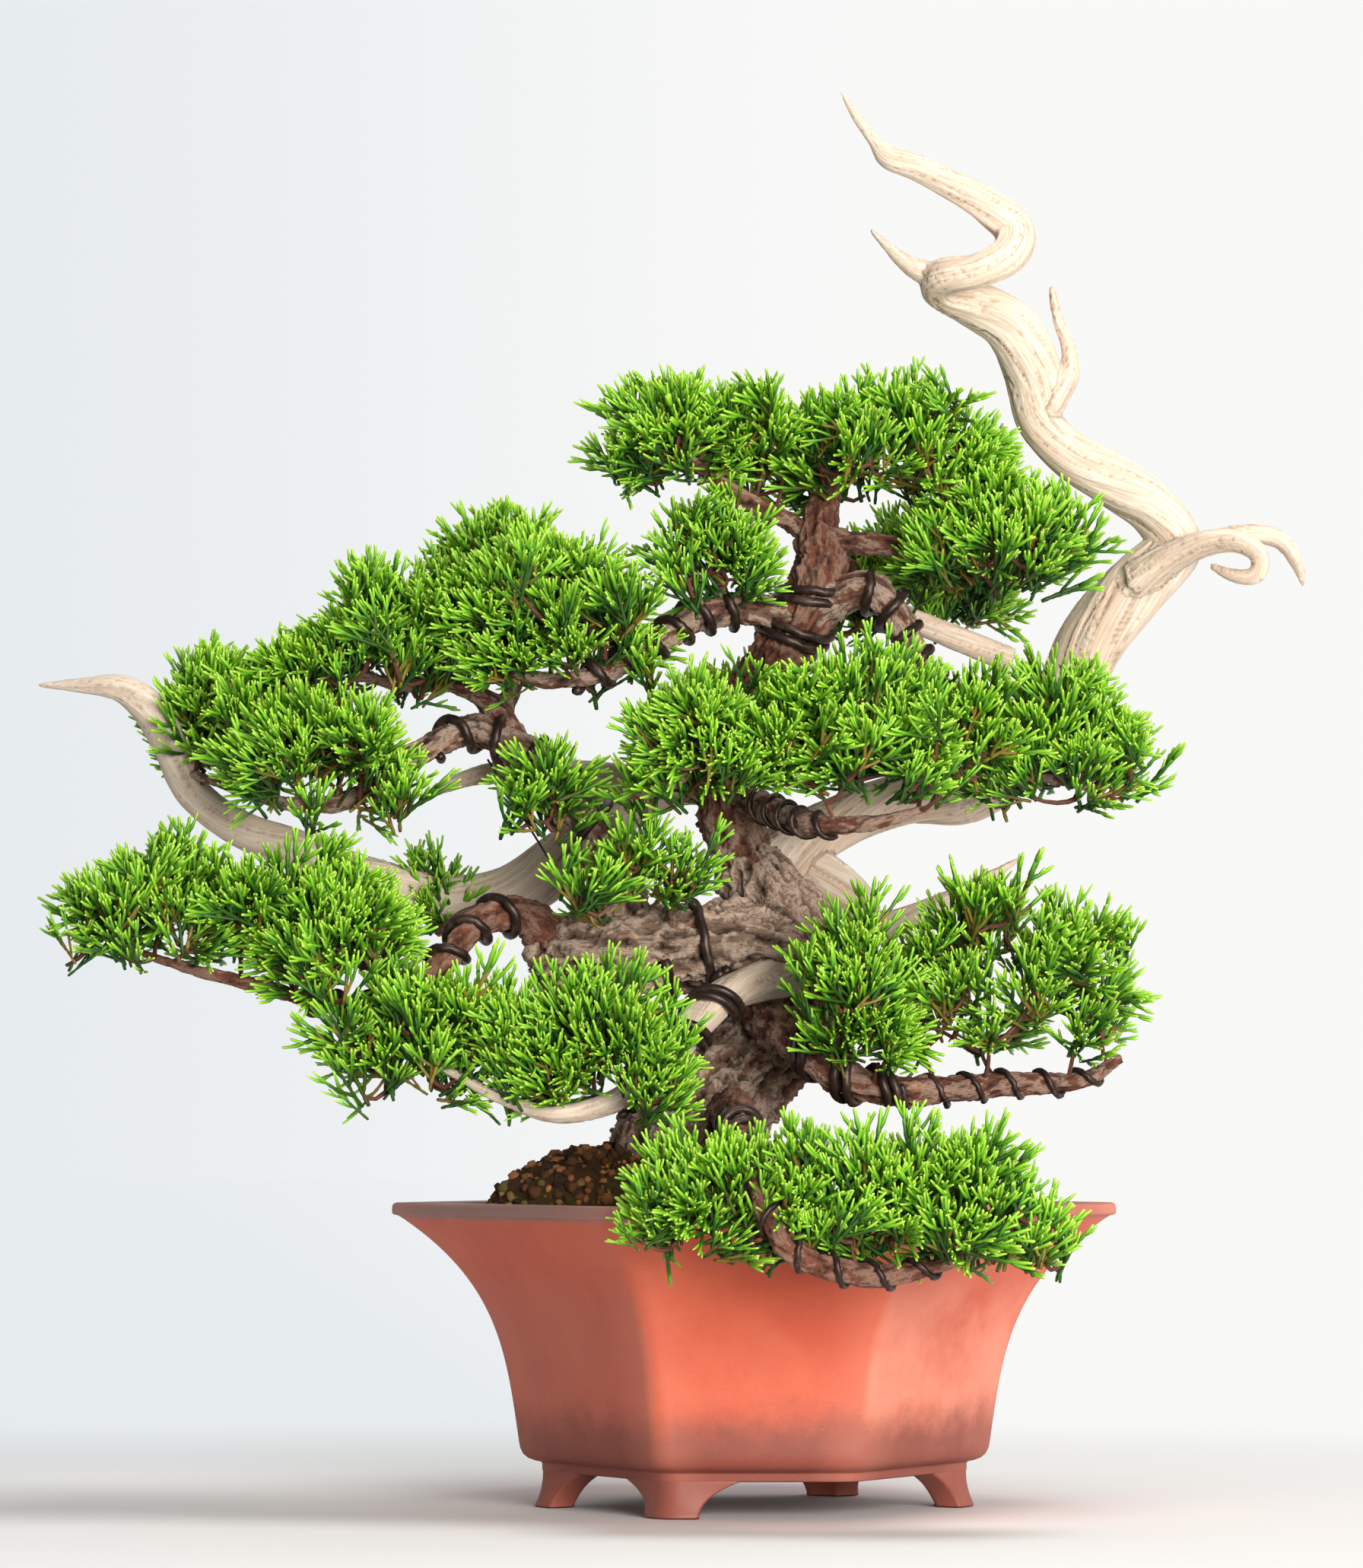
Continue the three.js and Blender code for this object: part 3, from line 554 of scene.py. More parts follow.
mound_rings = 46
mound_spokes = 120
mound_points = []
for ring in range(mound_rings + 1):
    tilt = math.pi / 2 * ring / mound_rings
    for spoke in range(mound_spokes):
        turn = 2 * math.pi * spoke / mound_spokes
        flat = math.sin(tilt)
        shape = (math.cos(turn) * flat * mound_half[0], math.sin(turn) * flat * mound_half[1])
        mound_points.append((*shape, math.cos(tilt) ** 1.15 * mound_height * 0.88))
mound_points = np.array(mound_points)
outward = mound_points / (mound_half * [1, 1, 2]) ** 2
outward /= np.linalg.norm(outward, axis=1)[:, None] + 1e-9
rough = fractal(mound_points * 190.0, 5, 0.62)
mound_points += outward * (rough * 0.0019)[:, None]
mound_points[:, 2] = np.maximum(mound_points[:, 2], 0)
mound_points += [mound_middle[0], mound_middle[1], mound_low[2] - 0.0006]
mound_faces = ring_quads(mound_rings + 1, mound_spokes)[:, [0, 3, 2, 1]].tolist()
mound_faces.append(range(mound_rings * mound_spokes, (mound_rings + 1) * mound_spokes)[::-1])
root_mound = add_mesh("root_mound_surface", mound_points, mound_faces)
add_values(root_mound, "rise", np.clip(rough * 0.5 + 0.5, 0, 1))

crumb_count = 1500
crumb_rng = np.random.default_rng(5)
crumb_picks = crumb_rng.integers(0, mound_rings * mound_spokes, crumb_count)
crumb_sizes = crumb_rng.uniform(0.5, 1.5, (crumb_count, 1))
crumb_sizes = crumb_sizes * crumb_rng.uniform(0.7, 1.2, (crumb_count, 3)) * MM
crumb_sizes[crumb_rng.uniform(0, 1, crumb_count) < 0.35] *= 1.5
crumb_shapes = [lump(crumb_rng, 1) for _ in range(6)]
root_crumbs = many("root_crumbs", crumb_shapes, crumb_rng.integers(0, 6, crumb_count),
                   random_turns(crumb_rng, crumb_count), crumb_sizes, mound_points[crumb_picks])

moss = Finish("root_moss", Roughness=0.95, Specular_IOR_Level=0.15)
moss_place = moss.place()
moss_fluff = moss.noise(moss_place, 1100.0, 6.0, 0.75)
moss_patches = moss.noise(moss_place, 130.0, 3.0)
moss_colour = moss.blend(moss_fluff, (0.030, 0.016, 0.008), (0.17, 0.085, 0.035))
moss_colour = moss.blend(moss.step(moss_patches, 0.5, 0.66) * 0.6, moss_colour, (0.09, 0.11, 0.02))
moss.feed(moss.shader, {"Base Color": moss_colour, "Normal": moss.relief(moss_fluff, 0.0012, 1.0)})
dress(root_mound, moss, "root_moss", "root_mound")
crumb_finish = Finish("root_crumbs", Roughness=0.95, Specular_IOR_Level=0.15)
crumb_hue = crumb_finish.node("ShaderNodeValToRGB", {"stops": [
    (0.0, (0.035, 0.018, 0.010)), (0.45, (0.11, 0.05, 0.022)), (0.72, (0.30, 0.12, 0.04)),
    (0.9, (0.44, 0.19, 0.07)), (1.0, (0.10, 0.10, 0.03))]}, {0: crumb_finish.attribute("tint")})
crumb_finish.feed(crumb_finish.shader, {"Base Color": crumb_hue})
dress(root_crumbs, crumb_finish, "root_moss")


# ---------------------------------------------------------------- Stems
# The juniper grew as one body of wood. Its routes run from the soil outwards, each point given as
# right, back and up from the middle of the rim, with the wood's radius there, in millimetres.
def between(first, second, start, end, t):
    return (first * (end - t) + second * (t - start)) / (end - start)


def framed(places, guide=None):
    """The direction at each place of a run, and two more square to it that don't spin round it."""
    ahead = np.gradient(places, axis=0)
    ahead /= np.linalg.norm(ahead, axis=1)[:, None]
    if guide is None:
        guide = np.array([0, 0, 1.0]) if abs(ahead[0][2]) < 0.9 else np.array([1.0, 0, 0])
    sides = []
    for direction in ahead:
        guide = guide - direction * guide.dot(direction)
        guide /= np.linalg.norm(guide)
        sides.append(guide)
    return {"ahead": ahead, "side": np.array(sides), "across": np.cross(ahead, sides)}


def follow(route, step=0.001):
    """Runs a smooth curve through a route and returns evenly spaced places, radii and directions."""
    knots = np.array(route, dtype=float) * MM
    knots[:, :3] += rim_middle
    control = np.vstack([2 * knots[0] - knots[1], knots, 2 * knots[-1] - knots[-2]])
    gaps = np.linalg.norm(np.diff(control[:, :3], axis=0), axis=1) ** 0.5
    times = np.concatenate([[0], np.cumsum(gaps)])
    run = []
    for i in range(1, len(control) - 2):
        t = np.linspace(times[i], times[i + 1], 12, endpoint=False)[:, None]
        a = [between(*control[i + k - 1:i + k + 1], *times[i + k - 1:i + k + 1], t) for k in range(3)]
        b = [between(a[k], a[k + 1], times[i + k - 1], times[i + k + 1], t) for k in range(2)]
        run.append(between(b[0], b[1], times[i], times[i + 1], t))
    run = np.vstack([*run, knots[-1:]])
    length = np.concatenate([[0], np.cumsum(np.linalg.norm(np.diff(run[:, :3], axis=0), axis=1))])
    count = max(int(length[-1] / step), 4) + 1
    along = np.linspace(0, length[-1], count)
    places = np.stack([np.interp(along, length, run[:, axis]) for axis in range(3)], axis=1)
    radii = np.interp(along, length, np.maximum(run[:, 3], 0.0003))
    return {"places": places, "radii": radii, "along": along, **framed(places)}


def tube_points(stem, sides, turned=0.0):
    """Rings of points round a followed route."""
    turns = np.linspace(0, 2 * math.pi, sides, endpoint=False) + turned
    ring = np.cos(turns)[None, :, None] * stem["side"][:, None]
    ring = ring + np.sin(turns)[None, :, None] * stem["across"][:, None]
    return (stem["places"][:, None] + ring * stem["radii"][:, None, None]).reshape(-1, 3)


def closed_tubes(name, runs, sides):
    """One mesh of closed round tubes, one along each run."""
    vertices = []
    faces = []
    for run in runs:
        faces += capped(len(run["places"]), sides, len(vertices))
        vertices += tube_points(run, sides).tolist()
    return add_mesh(name, vertices, faces)


def skin(name, stems, grain_size, rounds):
    """Joins tubes into one flowing surface with an even mesh."""
    piece = closed_tubes(name, stems, 14)
    remesh = piece.modifiers.new("one_skin", "REMESH")
    remesh.mode = "VOXEL"
    remesh.voxel_size = grain_size
    remesh.use_smooth_shade = True
    smooth = piece.modifiers.new("flow", "SMOOTH")
    smooth.factor = 0.5
    smooth.iterations = rounds
    bake_shape(piece)
    return piece


def grain_of(points, stems, step=2):
    """For each surface point: how far along its stem it lies, its turn round it, and that stem."""
    keys = ("places", "radii", "ahead", "side", "across", "along")
    samples = [np.concatenate([stem[key][::step] for stem in stems]) for key in keys]
    places, radii, ahead, side, across, along = samples
    owner = np.concatenate([np.full(len(stem["places"][::step]), i) for i, stem in enumerate(stems)])
    best = np.empty(len(points), dtype=int)
    for start in range(0, len(points), 3000):
        part = points[start:start + 3000]
        apart = np.sqrt(((part[:, None] - places[None]) ** 2).sum(-1)) - radii[None]
        best[start:start + 3000] = apart.argmin(1)
    offset = points - places[best]
    forward = along[best] + (offset * ahead[best]).sum(1)
    turn = np.arctan2((offset * across[best]).sum(1), (offset * side[best]).sum(1))
    return forward / MM, turn, radii[best] / MM, owner[best]


def surface_of(piece):
    """The places and outward directions of a mesh's points."""
    count = len(piece.data.vertices)
    points = np.empty(count * 3, dtype=np.float32)
    normals = np.empty(count * 3, dtype=np.float32)
    piece.data.vertices.foreach_get("co", points)
    piece.data.vertex_normals.foreach_get("vector", normals)
    return points.reshape(-1, 3).astype(float), normals.reshape(-1, 3).astype(float)


def move_surface(piece, points):
    piece.data.vertices.foreach_set("co", points.astype(np.float32).ravel())
    piece.data.update()


trunk_routes = {
    "trunk": [(-23, 0, -11, 17), (-22, 0, 7, 19), (-16, 0, 20, 17.5), (-7, 4, 32, 15.5), (5, 6, 43, 14.4),
              (14, 3, 54, 13.3), (14, -3, 65, 12.4), (6, -3, 78, 10.6), (-2, 3, 94, 8.6), (-8, 6, 113, 8),
              (-5, 5, 130, 7.5), (5, 0, 147, 7.7), (14, -3, 161, 8.4), (18, -3, 174, 7.6), (18, 0, 186, 5.2),
              (21, 3, 197, 3.4), (27, 3, 209, 1.8)],
    "log": [(12, -4, 66, 11), (0, -12, 69, 11.4), (-22, -15, 69, 11.6), (-41, -14, 68, 11),
            (-53, -12, 67, 9.8), (-60, -12, 64, 8)],
    "shoulder": [(3, -2, 95, 3.6), (9, 0, 82, 8.4), (14, 0, 70, 12)],
}
branch_routes = {
    "left_up": [(-35, -14, 72, 8.6), (-37, -14, 83, 8.2), (-42, -13, 97, 7.4), (-53, -10, 112, 6.4),
                (-65, -4, 124, 5.4), (-78, 0, 129, 4.2), (-92, -6, 122, 3.2),
                (-105, -10, 112, 2.8), (-120, -10, 108, 2.3), (-137, -8, 111, 1.7), (-154, -6, 117, 1)],
    "left_peak": [(-64, -4, 123, 4.7), (-72, 0, 136, 3.4), (-82, 2, 142, 2.8), (-95, 2, 142, 2.2),
                  (-110, 0, 144, 1.3)],
    "peak_twig": [(-69, 0, 133, 2.8), (-65, 6, 149, 2.2), (-67, 8, 164, 1.5), (-68, 8, 175, 0.9)],
    "droop": [(-46, -12, 103, 2.3), (-54, -28, 111, 1.5), (-60, -34, 115, 0.8)],
    "upper_left": [(11, -4, 158, 5.4), (-3, -8, 162, 4.7), (-14, -12, 160, 4.3), (-25, -18, 153, 3.4),
                   (-40, -22, 144, 2.8), (-56, -22, 141, 2.1), (-73, -20, 145, 1.3)],
    "heart": [(-9, -10, 161, 2.4), (-10, -16, 172, 1.7), (-10, -19, 182, 1.1)],
    "crown_right": [(18, -2, 181, 3.6), (32, -7, 180, 3), (48, -9, 177, 2.3), (65, -9, 178, 1.7),
                    (82, -8, 181, 1)],
    "crown_left": [(18, 0, 181, 3.2), (7, -3, 188, 2.6), (-5, -5, 194, 2.1), (-16, -6, 202, 1.5),
                   (-24, -6, 208, 0.9)],
    "crown_back": [(18, 2, 172, 3.7), (22, 18, 177, 2.6), (34, 34, 176, 2), (52, 42, 174, 1.1)],
    "upper_right": [(16, -5, 162, 5.4), (30, -9, 167, 4.7), (37, -10, 162, 4.5), (42, -11, 152, 3.8),
                    (49, -12, 141, 3.2), (61, -13, 129, 2.6), (76, -13, 117, 1.9), (95, -12, 112, 1.1)],
    "middle_left": [(-6, 2, 127, 4.5), (-16, -20, 134, 4), (-21, -38, 128, 3.4), (-20, -50, 115, 2.5),
                    (-28, -54, 109, 1.7), (-36, -55, 108, 0.9)],
    "middle_right": [(-6, 6, 113, 4.7), (5, -20, 106, 3.6), (16, -42, 101, 2.9), (30, -50, 101, 2.1),
                     (45, -50, 105, 1)],
    "sprig": [(-22, -18, 73, 2.5), (-23, -38, 85, 1.7), (-26, -43, 92, 0.9)],
    "low_left": [(-52, -12, 69, 6.4), (-65, -20, 78, 4.9), (-76, -28, 74, 4), (-85, -38, 63, 3.4),
                 (-97, -44, 53, 2.7), (-113, -46, 53, 2.3), (-132, -45, 58, 1.9), (-152, -43, 63, 1.5),
                 (-170, -42, 69, 0.8)],
    "low_left_back": [(-63, -16, 77, 3.4), (-75, 0, 80, 2.1), (-87, 9, 74, 1.3)],
    "low_right": [(3, -10, 50, 6.6), (14, -36, 42, 5.7), (25, -42, 33, 4.6), (43, -40, 30, 3.8),
                  (67, -34, 32, 3.2), (87, -32, 33, 2.5), (98, -30, 39, 1.3)],
    "front": [(-7, -6, 26, 6.2), (-5, -48, 22, 5), (-4, -84, 18, 4.1), (-1, -108, 7, 3.6), (7, -116, -9, 3.4),
              (18, -114, -15, 3.2), (32, -112, -17, 2.8), (47, -110, -14, 2), (67, -108, -7, 1.2)],
    "back": [(-7, 8, 120, 3.7), (-8, 36, 127, 2.9), (-6, 60, 133, 1.6)],
}
deadwood_routes = {
    "crown": [(0, 8, 88, 7.8), (22, 28, 105, 7.4), (42, 42, 113, 7.3), (62, 46, 114, 7.7), (77, 44, 125, 8.2),
              (87, 38, 140, 8.4), (95, 30, 157, 8.8), (107, 24, 171, 8.9), (118, 20, 182, 7.4),
              (112, 20, 192, 7.2), (102, 20, 199, 7.4), (88, 18, 207, 6.7), (79, 16, 217, 6.4),
              (77, 14, 230, 7.7), (71, 12, 242, 7.1), (61, 11, 248.5, 6.6), (52, 6, 252, 5.6),
              (52, -3, 254, 5.2), (61, -7, 255, 5.1), (70, -4, 260, 5.6), (72, 0, 267, 5.8),
              (66, 0, 273, 5.2), (57, 0, 279, 4.3), (45, 0, 285, 3.5), (37, 0, 288, 3.2),
              (33.5, 0, 292, 1.9), (29, 0, 298, 1.4), (24, 0, 306, 0.5)],
    "stub": [(54, -1, 253, 4.4), (44, 0, 257, 3.0), (38, 1, 262, 1.8), (32, 2, 268, 0.6)],
    "thorn": [(82, 14, 220, 4.4), (88, 14, 230, 3.2), (87.5, 14, 237, 2.2), (85, 14, 244, 1.7),
              (83.5, 14, 251, 1.3), (83, 14, 254, 0.9)],
    "hook": [(106, 18, 172, 5.4), (116, 11, 178, 4.2), (126, 4, 181.5, 3.4), (134, 0, 181, 2.9),
             (139, -1, 177, 2.5), (138, 0, 172, 2.3), (132, 2, 172, 1.9), (126, 5, 175, 1.1)],
    "outer": [(114, 24, 180, 4.6), (126, 27, 183, 3.4), (139, 28, 186, 2.8), (148, 28, 184, 2.6),
              (152, 27, 178, 2), (154, 26, 171, 0.6)],
    "bar": [(15, 5, 170, 4.3), (32, 14, 166, 3.3), (50, 18, 159, 3.1), (72, 22, 150, 3.4)],
    "left": [(-196, -8, 141, 0.6), (-184, -8, 141, 2.2), (-173, -8, 140, 4), (-165, -6, 134, 5.2),
             (-160, -3, 125, 5), (-154, 0, 112, 4.8), (-141, 3, 102, 5.4), (-124, 6, 96, 5.8),
             (-105, 10, 89, 6), (-85, 14, 83, 6.7), (-67, 17, 85, 7.2), (-52, 19, 95, 7.4),
             (-37, 19, 108, 7), (-21, 15, 115, 6.5), (-4, 8, 113, 5.6)],
    "left_upper": [(-90, 10, 112, 1.0), (-78, 13, 117, 2.6), (-64, 17, 119, 3.5), (-48, 19, 118, 4.1),
                   (-28, 17, 115, 4.8)],
    "spur": [(4, 16, 101, 5.4), (19, 22, 91, 6.3), (29, 20, 80, 6.1), (25, 10, 66, 8)],
    "spur_low": [(13, 4, 67, 6.7), (34, 18, 75, 4.1), (54, 24, 83, 3.1), (74, 28, 95, 0.8)],
    "front_left": [(9, -12, 62, 6.6), (-6, -31, 57, 5.2), (-16, -42, 48, 4.8), (-25, -52, 38, 3.9),
                   (-36, -60, 28, 3.1), (-52, -66, 24, 2.5), (-67, -64, 28, 1.9), (-84, -56, 37, 1.3),
                   (-101, -52, 45, 0.8)],
}
live_names = list(trunk_routes) + list(branch_routes)
live_stems = [follow({**trunk_routes, **branch_routes}[name]) for name in live_names]
dead_names = list(deadwood_routes)
dead_stems = [follow(deadwood_routes[name]) for name in dead_names]


# ---------------------------------------------------------------- Trunk and branches
# Live wood is covered by thin red-brown bark that weathers grey, splits into long plates and
# flakes away, and shows tan wood where it has come off.
redness = {"trunk": 0.42, "log": 0.10, "shoulder": 0.15, "left_up": 0.30, "low_left": 0.75,
           "upper_left": 0.45, "upper_right": 0.45, "crown_right": 0.6, "low_right": 0.6, "front": 0.85}


def carve_bark(piece, names, stems):
    """Cuts long splits, lifted plates and small flakes into a skin, and notes its grain and colour."""
    points, normals = surface_of(piece)
    forward, turn, girth, owner = grain_of(points, stems)
    shift = owner * 37.0
    round_x = np.cos(turn) * girth
    round_y = np.sin(turn) * girth
    bend = fractal(np.stack([forward * 0.06, round_x * 0.10, round_y * 0.10 + shift], 1), 2, 0.5) * 0.5
    plates = fractal(np.stack([forward * 0.055 + shift, round_x * 0.20 + bend, round_y * 0.20], 1), 3, 0.55)
    lumps = fractal(np.stack([forward * 0.07 + 9, round_x * 0.09, round_y * 0.09 + shift], 1), 3, 0.5)
    flakes = fractal(np.stack([forward * 0.16 + 31, round_x * 0.34, round_y * 0.34 + shift], 1), 4, 0.65)
    split = np.clip(1 - np.abs(plates) / 0.11, 0, 1) ** 1.2
    weight = np.clip(girth / 9.0, 0.15, 1.25)
    steps = flakes * 5.0
    layer = (np.floor(steps) + np.clip((steps - np.floor(steps)) * 3.5, 0, 1)) / 5.0
    relief = (-split * 1.25 + lumps * 1.7 + layer * 1.9) * weight * MM
    move_surface(piece, points + normals * relief[:, None])
    height_up = (points[:, 2] - rim_middle[2]) / MM
    tones = np.array([redness.get(name, 0.55) for name in names])[owner]
    on_trunk = np.array([name == "trunk" for name in names])[owner]
    tones = tones + on_trunk * np.clip((height_up - 95) / 40, -0.15, 0.5)
    add_values(piece, "grain", np.stack([forward, round_x, round_y + shift], 1))
    # The split value also takes in the hollows under the lifted flakes, where the bark is painted dark as
    # shade.
    add_values(piece, "split", np.clip(split * 0.9 + np.clip(-layer - 0.12, 0, 1) * 1.3, 0, 1))
    add_values(piece, "tone", tones)
    add_values(piece, "raised", np.clip(layer * 2.2 + 0.5, 0, 1))


trunk_names = ["trunk", "log", "shoulder", "left_up"]
thin_names = [name for name in live_names if name not in trunk_names]
trunk_stems = [live_stems[live_names.index(name)] for name in trunk_names]
thin_stems = [live_stems[live_names.index(name)] for name in thin_names]
trunk_wood = skin("trunk_wood", trunk_stems, 0.00064, 4)
carve_bark(trunk_wood, trunk_names, trunk_stems)
branch_wood = skin("branch_wood", thin_stems, 0.00062, 3)
carve_bark(branch_wood, thin_names, thin_stems)

bark = Finish("bark", Specular_IOR_Level=0.25, Roughness=0.85)
bark_grain = bark.attribute("grain", "Vector")
bark_long = bark.noise(bark.stretch(bark_grain, (0.12, 0.9, 0.9)), 1.0, 6.0, 0.7)
bark_patch = bark.noise(bark.stretch(bark_grain, (0.06, 0.14, 0.14)), 1.0, 3.0, 0.55)
bark_fine = bark.noise(bark.stretch(bark_grain, (0.7, 2.6, 2.6)), 1.0, 4.0, 0.7)
bark_tone = bark.attribute("tone")
bark_raised = bark.attribute("raised")
bark_red = bark.blend(bark_long, (0.070, 0.022, 0.014), (0.29, 0.105, 0.060))
bark_grey = bark.blend(bark_long, (0.085, 0.050, 0.035), (0.40, 0.265, 0.185))
bark_colour = bark.blend(bark.step(bark_tone + bark_patch - 0.5, 0.15, 0.60), bark_grey, bark_red)
bark_light = bark.blend(bark_fine, (0.30, 0.205, 0.15), (0.58, 0.44, 0.345))
bark_plates = bark.step(bark_raised + bark_patch * 0.5, 0.72, 1.05)
bark_plates = bark_plates * (0.85 - bark.step(bark_tone, 0.3, 0.8) * 0.6)
bark_colour = bark.blend(bark_plates, bark_colour, bark_light)
bark_colour = bark.blend(bark.step(bark_patch, 0.58, 0.68) * 0.5, bark_colour, (0.50, 0.27, 0.17))
bark_colour = bark.blend(bark.step(bark_fine, 0.52, 0.36) * 0.50, bark_colour, (0.055, 0.028, 0.019))
# Painted shade: the splits and the hollows under lifted flakes are near black.
bark_colour = bark.blend(bark.attribute("split") * 0.95, bark_colour, (0.022, 0.011, 0.008))
bark.feed(bark.shader, {
    "Base Color": bark_colour,
    "Normal": bark.relief(bark_long * 0.5 + bark_fine * 0.5, 0.0012, 1.0),
})
dress(trunk_wood, bark, "bark", "trunk", "branch_left_up")
dress(branch_wood, bark, "bark", "branch_upper_left", "branch_crown_right", "branch_crown_left",
      "branch_crown_back", "branch_upper_right", "branch_middle_left", "branch_middle_right",
      "branch_sprig", "branch_low_left", "branch_low_right", "branch_front", "branch_back")


# ---------------------------------------------------------------- Deadwood
# Dead leaders and a dead strip of trunk, stripped of bark, carved along the grain and bleached
# with lime sulphur: hard twisted fibres, open checks, cream in the sun and grey lower down.
dead_wood = skin("dead_wood", dead_stems, 0.00076, 4)
points, normals = surface_of(dead_wood)
forward, turn, girth, owner = grain_of(points, dead_stems)
owner_offset = owner * 23.0
spiral = turn + forward * 0.028
wind_x, wind_y = np.cos(spiral), np.sin(spiral)
flutes = fractal(np.stack([forward * 0.014 + owner_offset, wind_x * 0.85, wind_y * 0.85], 1), 2, 0.5)
ribs = fractal(np.stack([forward * 0.010 + 5 + owner_offset, wind_x * 1.9, wind_y * 1.9], 1), 3, 0.55)
fibre_places = np.stack([forward * 0.05, wind_x * girth * 1.1, wind_y * girth * 1.1 + owner_offset], 1)
fibres = fractal(fibre_places, 3, 0.6)
check = np.clip(1 - np.abs(ribs) / 0.075, 0, 1) ** 1.5
swing = np.clip(girth, 1.0, 9.0)
relief = flutes * 0.20 * swing - check * np.clip(swing * 0.13, 0.1, 1.0)
relief = (relief + ribs * 0.08 * swing + fibres * 0.10) * MM
move_surface(dead_wood, points + normals * relief[:, None])
greyness = {"left": 0.62, "left_upper": 0.55, "front_left": 0.45, "hook": 0.25, "outer": 0.2,
            "bar": 0.05, "spur": 0.2, "spur_low": 0.35}
greys = np.array([greyness.get(name, 0.08) for name in dead_names])[owner]
add_values(dead_wood, "grain", np.stack([forward, wind_x * girth, wind_y * girth + owner_offset], 1))
# The split value marks the open checks and the hollows between the flutes.
add_values(dead_wood, "split", np.clip(check + np.clip(-flutes - 0.15, 0, 1) * 0.6, 0, 1))
add_values(dead_wood, "tone", greys)

bleached = Finish("bleached_wood", Roughness=0.72, Specular_IOR_Level=0.3)
bleached_grain = bleached.attribute("grain", "Vector")
bleached_fibre = bleached.noise(bleached.stretch(bleached_grain, (0.06, 1.6, 1.6)), 1.0, 5.0, 0.7)
bleached_band = bleached.noise(bleached.stretch(bleached_grain, (0.03, 0.35, 0.35)), 1.0, 3.0, 0.6)
bleached_pale = bleached.step(bleached_fibre, 0.3, 0.7)
bleached_colour = bleached.blend(bleached_pale, (0.56, 0.40, 0.285), (0.82, 0.725, 0.61))
bleached_warm = bleached.step(bleached_band, 0.45, 0.68) * 0.5
bleached_colour = bleached.blend(bleached_warm, bleached_colour, (0.70, 0.46, 0.325))
bleached_old = bleached.blend(bleached_fibre, (0.27, 0.21, 0.165), (0.66, 0.57, 0.47))
bleached_colour = bleached.blend(bleached.attribute("tone"), bleached_colour, bleached_old)
# Painted shade: the checks and the hollows between the flutes are darker brown.
bleached_colour = bleached.blend(bleached.attribute("split") * 0.75, bleached_colour, (0.33, 0.185, 0.10))
bleached_line = bleached.step(bleached_fibre, 0.36, 0.30)
bleached_colour = bleached.blend(bleached_line * 0.45, bleached_colour, (0.30, 0.18, 0.10))
bleached.feed(bleached.shader, {
    "Base Color": bleached_colour,
    "Normal": bleached.relief(bleached_fibre * 0.7 + bleached_band * 0.3, 0.0006, 0.8),
})
dress(dead_wood, bleached, "bleached_wood", "jin_crown", "jin_bar", "jin_left", "jin_spur",
      "branch_front_left")


# ---------------------------------------------------------------- Training wire
# Dark anodised aluminium wire, heavy on the thick branches and light on the thin ones, wound on
# each branch at an even slant, often as two strands side by side.
all_routes = {**trunk_routes, **branch_routes, **deadwood_routes}
heavy = 1.3 * MM
fine = 0.8 * MM
windings = {
    "wire_left_up": [("left_up", 0.14, 0.56, 5.5, heavy, 1)],
    "wire_upper_left": [("upper_left", 0.16, 0.74, 6.5, heavy, 1)],
    "wire_upper_right": [("upper_right", 0.16, 0.66, 6.5, heavy, 1)],
    "wire_middle_left": [("middle_left", 0.22, 0.66, 4.5, heavy, 1),
                         ("middle_right", 0.25, 0.7, 4.5, fine, 1)],
    "wire_low_left": [("low_left", 0.10, 0.62, 6.5, heavy, 1)],
    "wire_front_left": [("front_left", 0.14, 0.50, 3.5, heavy, 2)],
    "wire_low_right": [("low_right", 0.24, 0.46, 2.2, heavy, 2), ("low_right", 0.48, 0.95, 5.5, fine, 1)],
    "wire_front": [("front", 0.30, 0.56, 4, heavy, 1), ("front", 0.56, 0.92, 6, fine, 1)],
    "wire_trunk": [("log", 0.30, 0.52, 1.6, heavy, 1), ("trunk", 0.735, 0.83, 2.2, heavy, 2),
                   ("left_up", 0.02, 0.14, 0.9, heavy, 1)],
}


def wound(route, start, end, turns, gauge, strands):
    """Strands of wire wound on a stem, pressed a little into its bark."""
    stem = follow(all_routes[route], 0.0005)
    last = len(stem["places"]) - 1
    steps = int(turns * 30)
    coils = []
    for strand in range(strands):
        shift = strand * 2.15 * gauge / stem["along"][-1]
        where = (np.linspace(start, end, steps) + shift) * last
        pick = np.clip(where.astype(int), 0, last)
        reach = stem["radii"][pick] + gauge * 0.72
        turn = np.linspace(0, turns * 2 * math.pi, steps) + 0.6
        places = stem["places"][pick] + stem["side"][pick] * (reach * np.cos(turn))[:, None]
        places = places + stem["across"][pick] * (reach * np.sin(turn))[:, None]
        coils.append({"places": places, "radii": np.full(steps, gauge)})
    return coils


def straightened(run):
    """The run with directions carried along it, which keep a wire from twisting."""
    return {**run, **framed(run["places"], np.array([0.3, 0.2, 0.9]))}


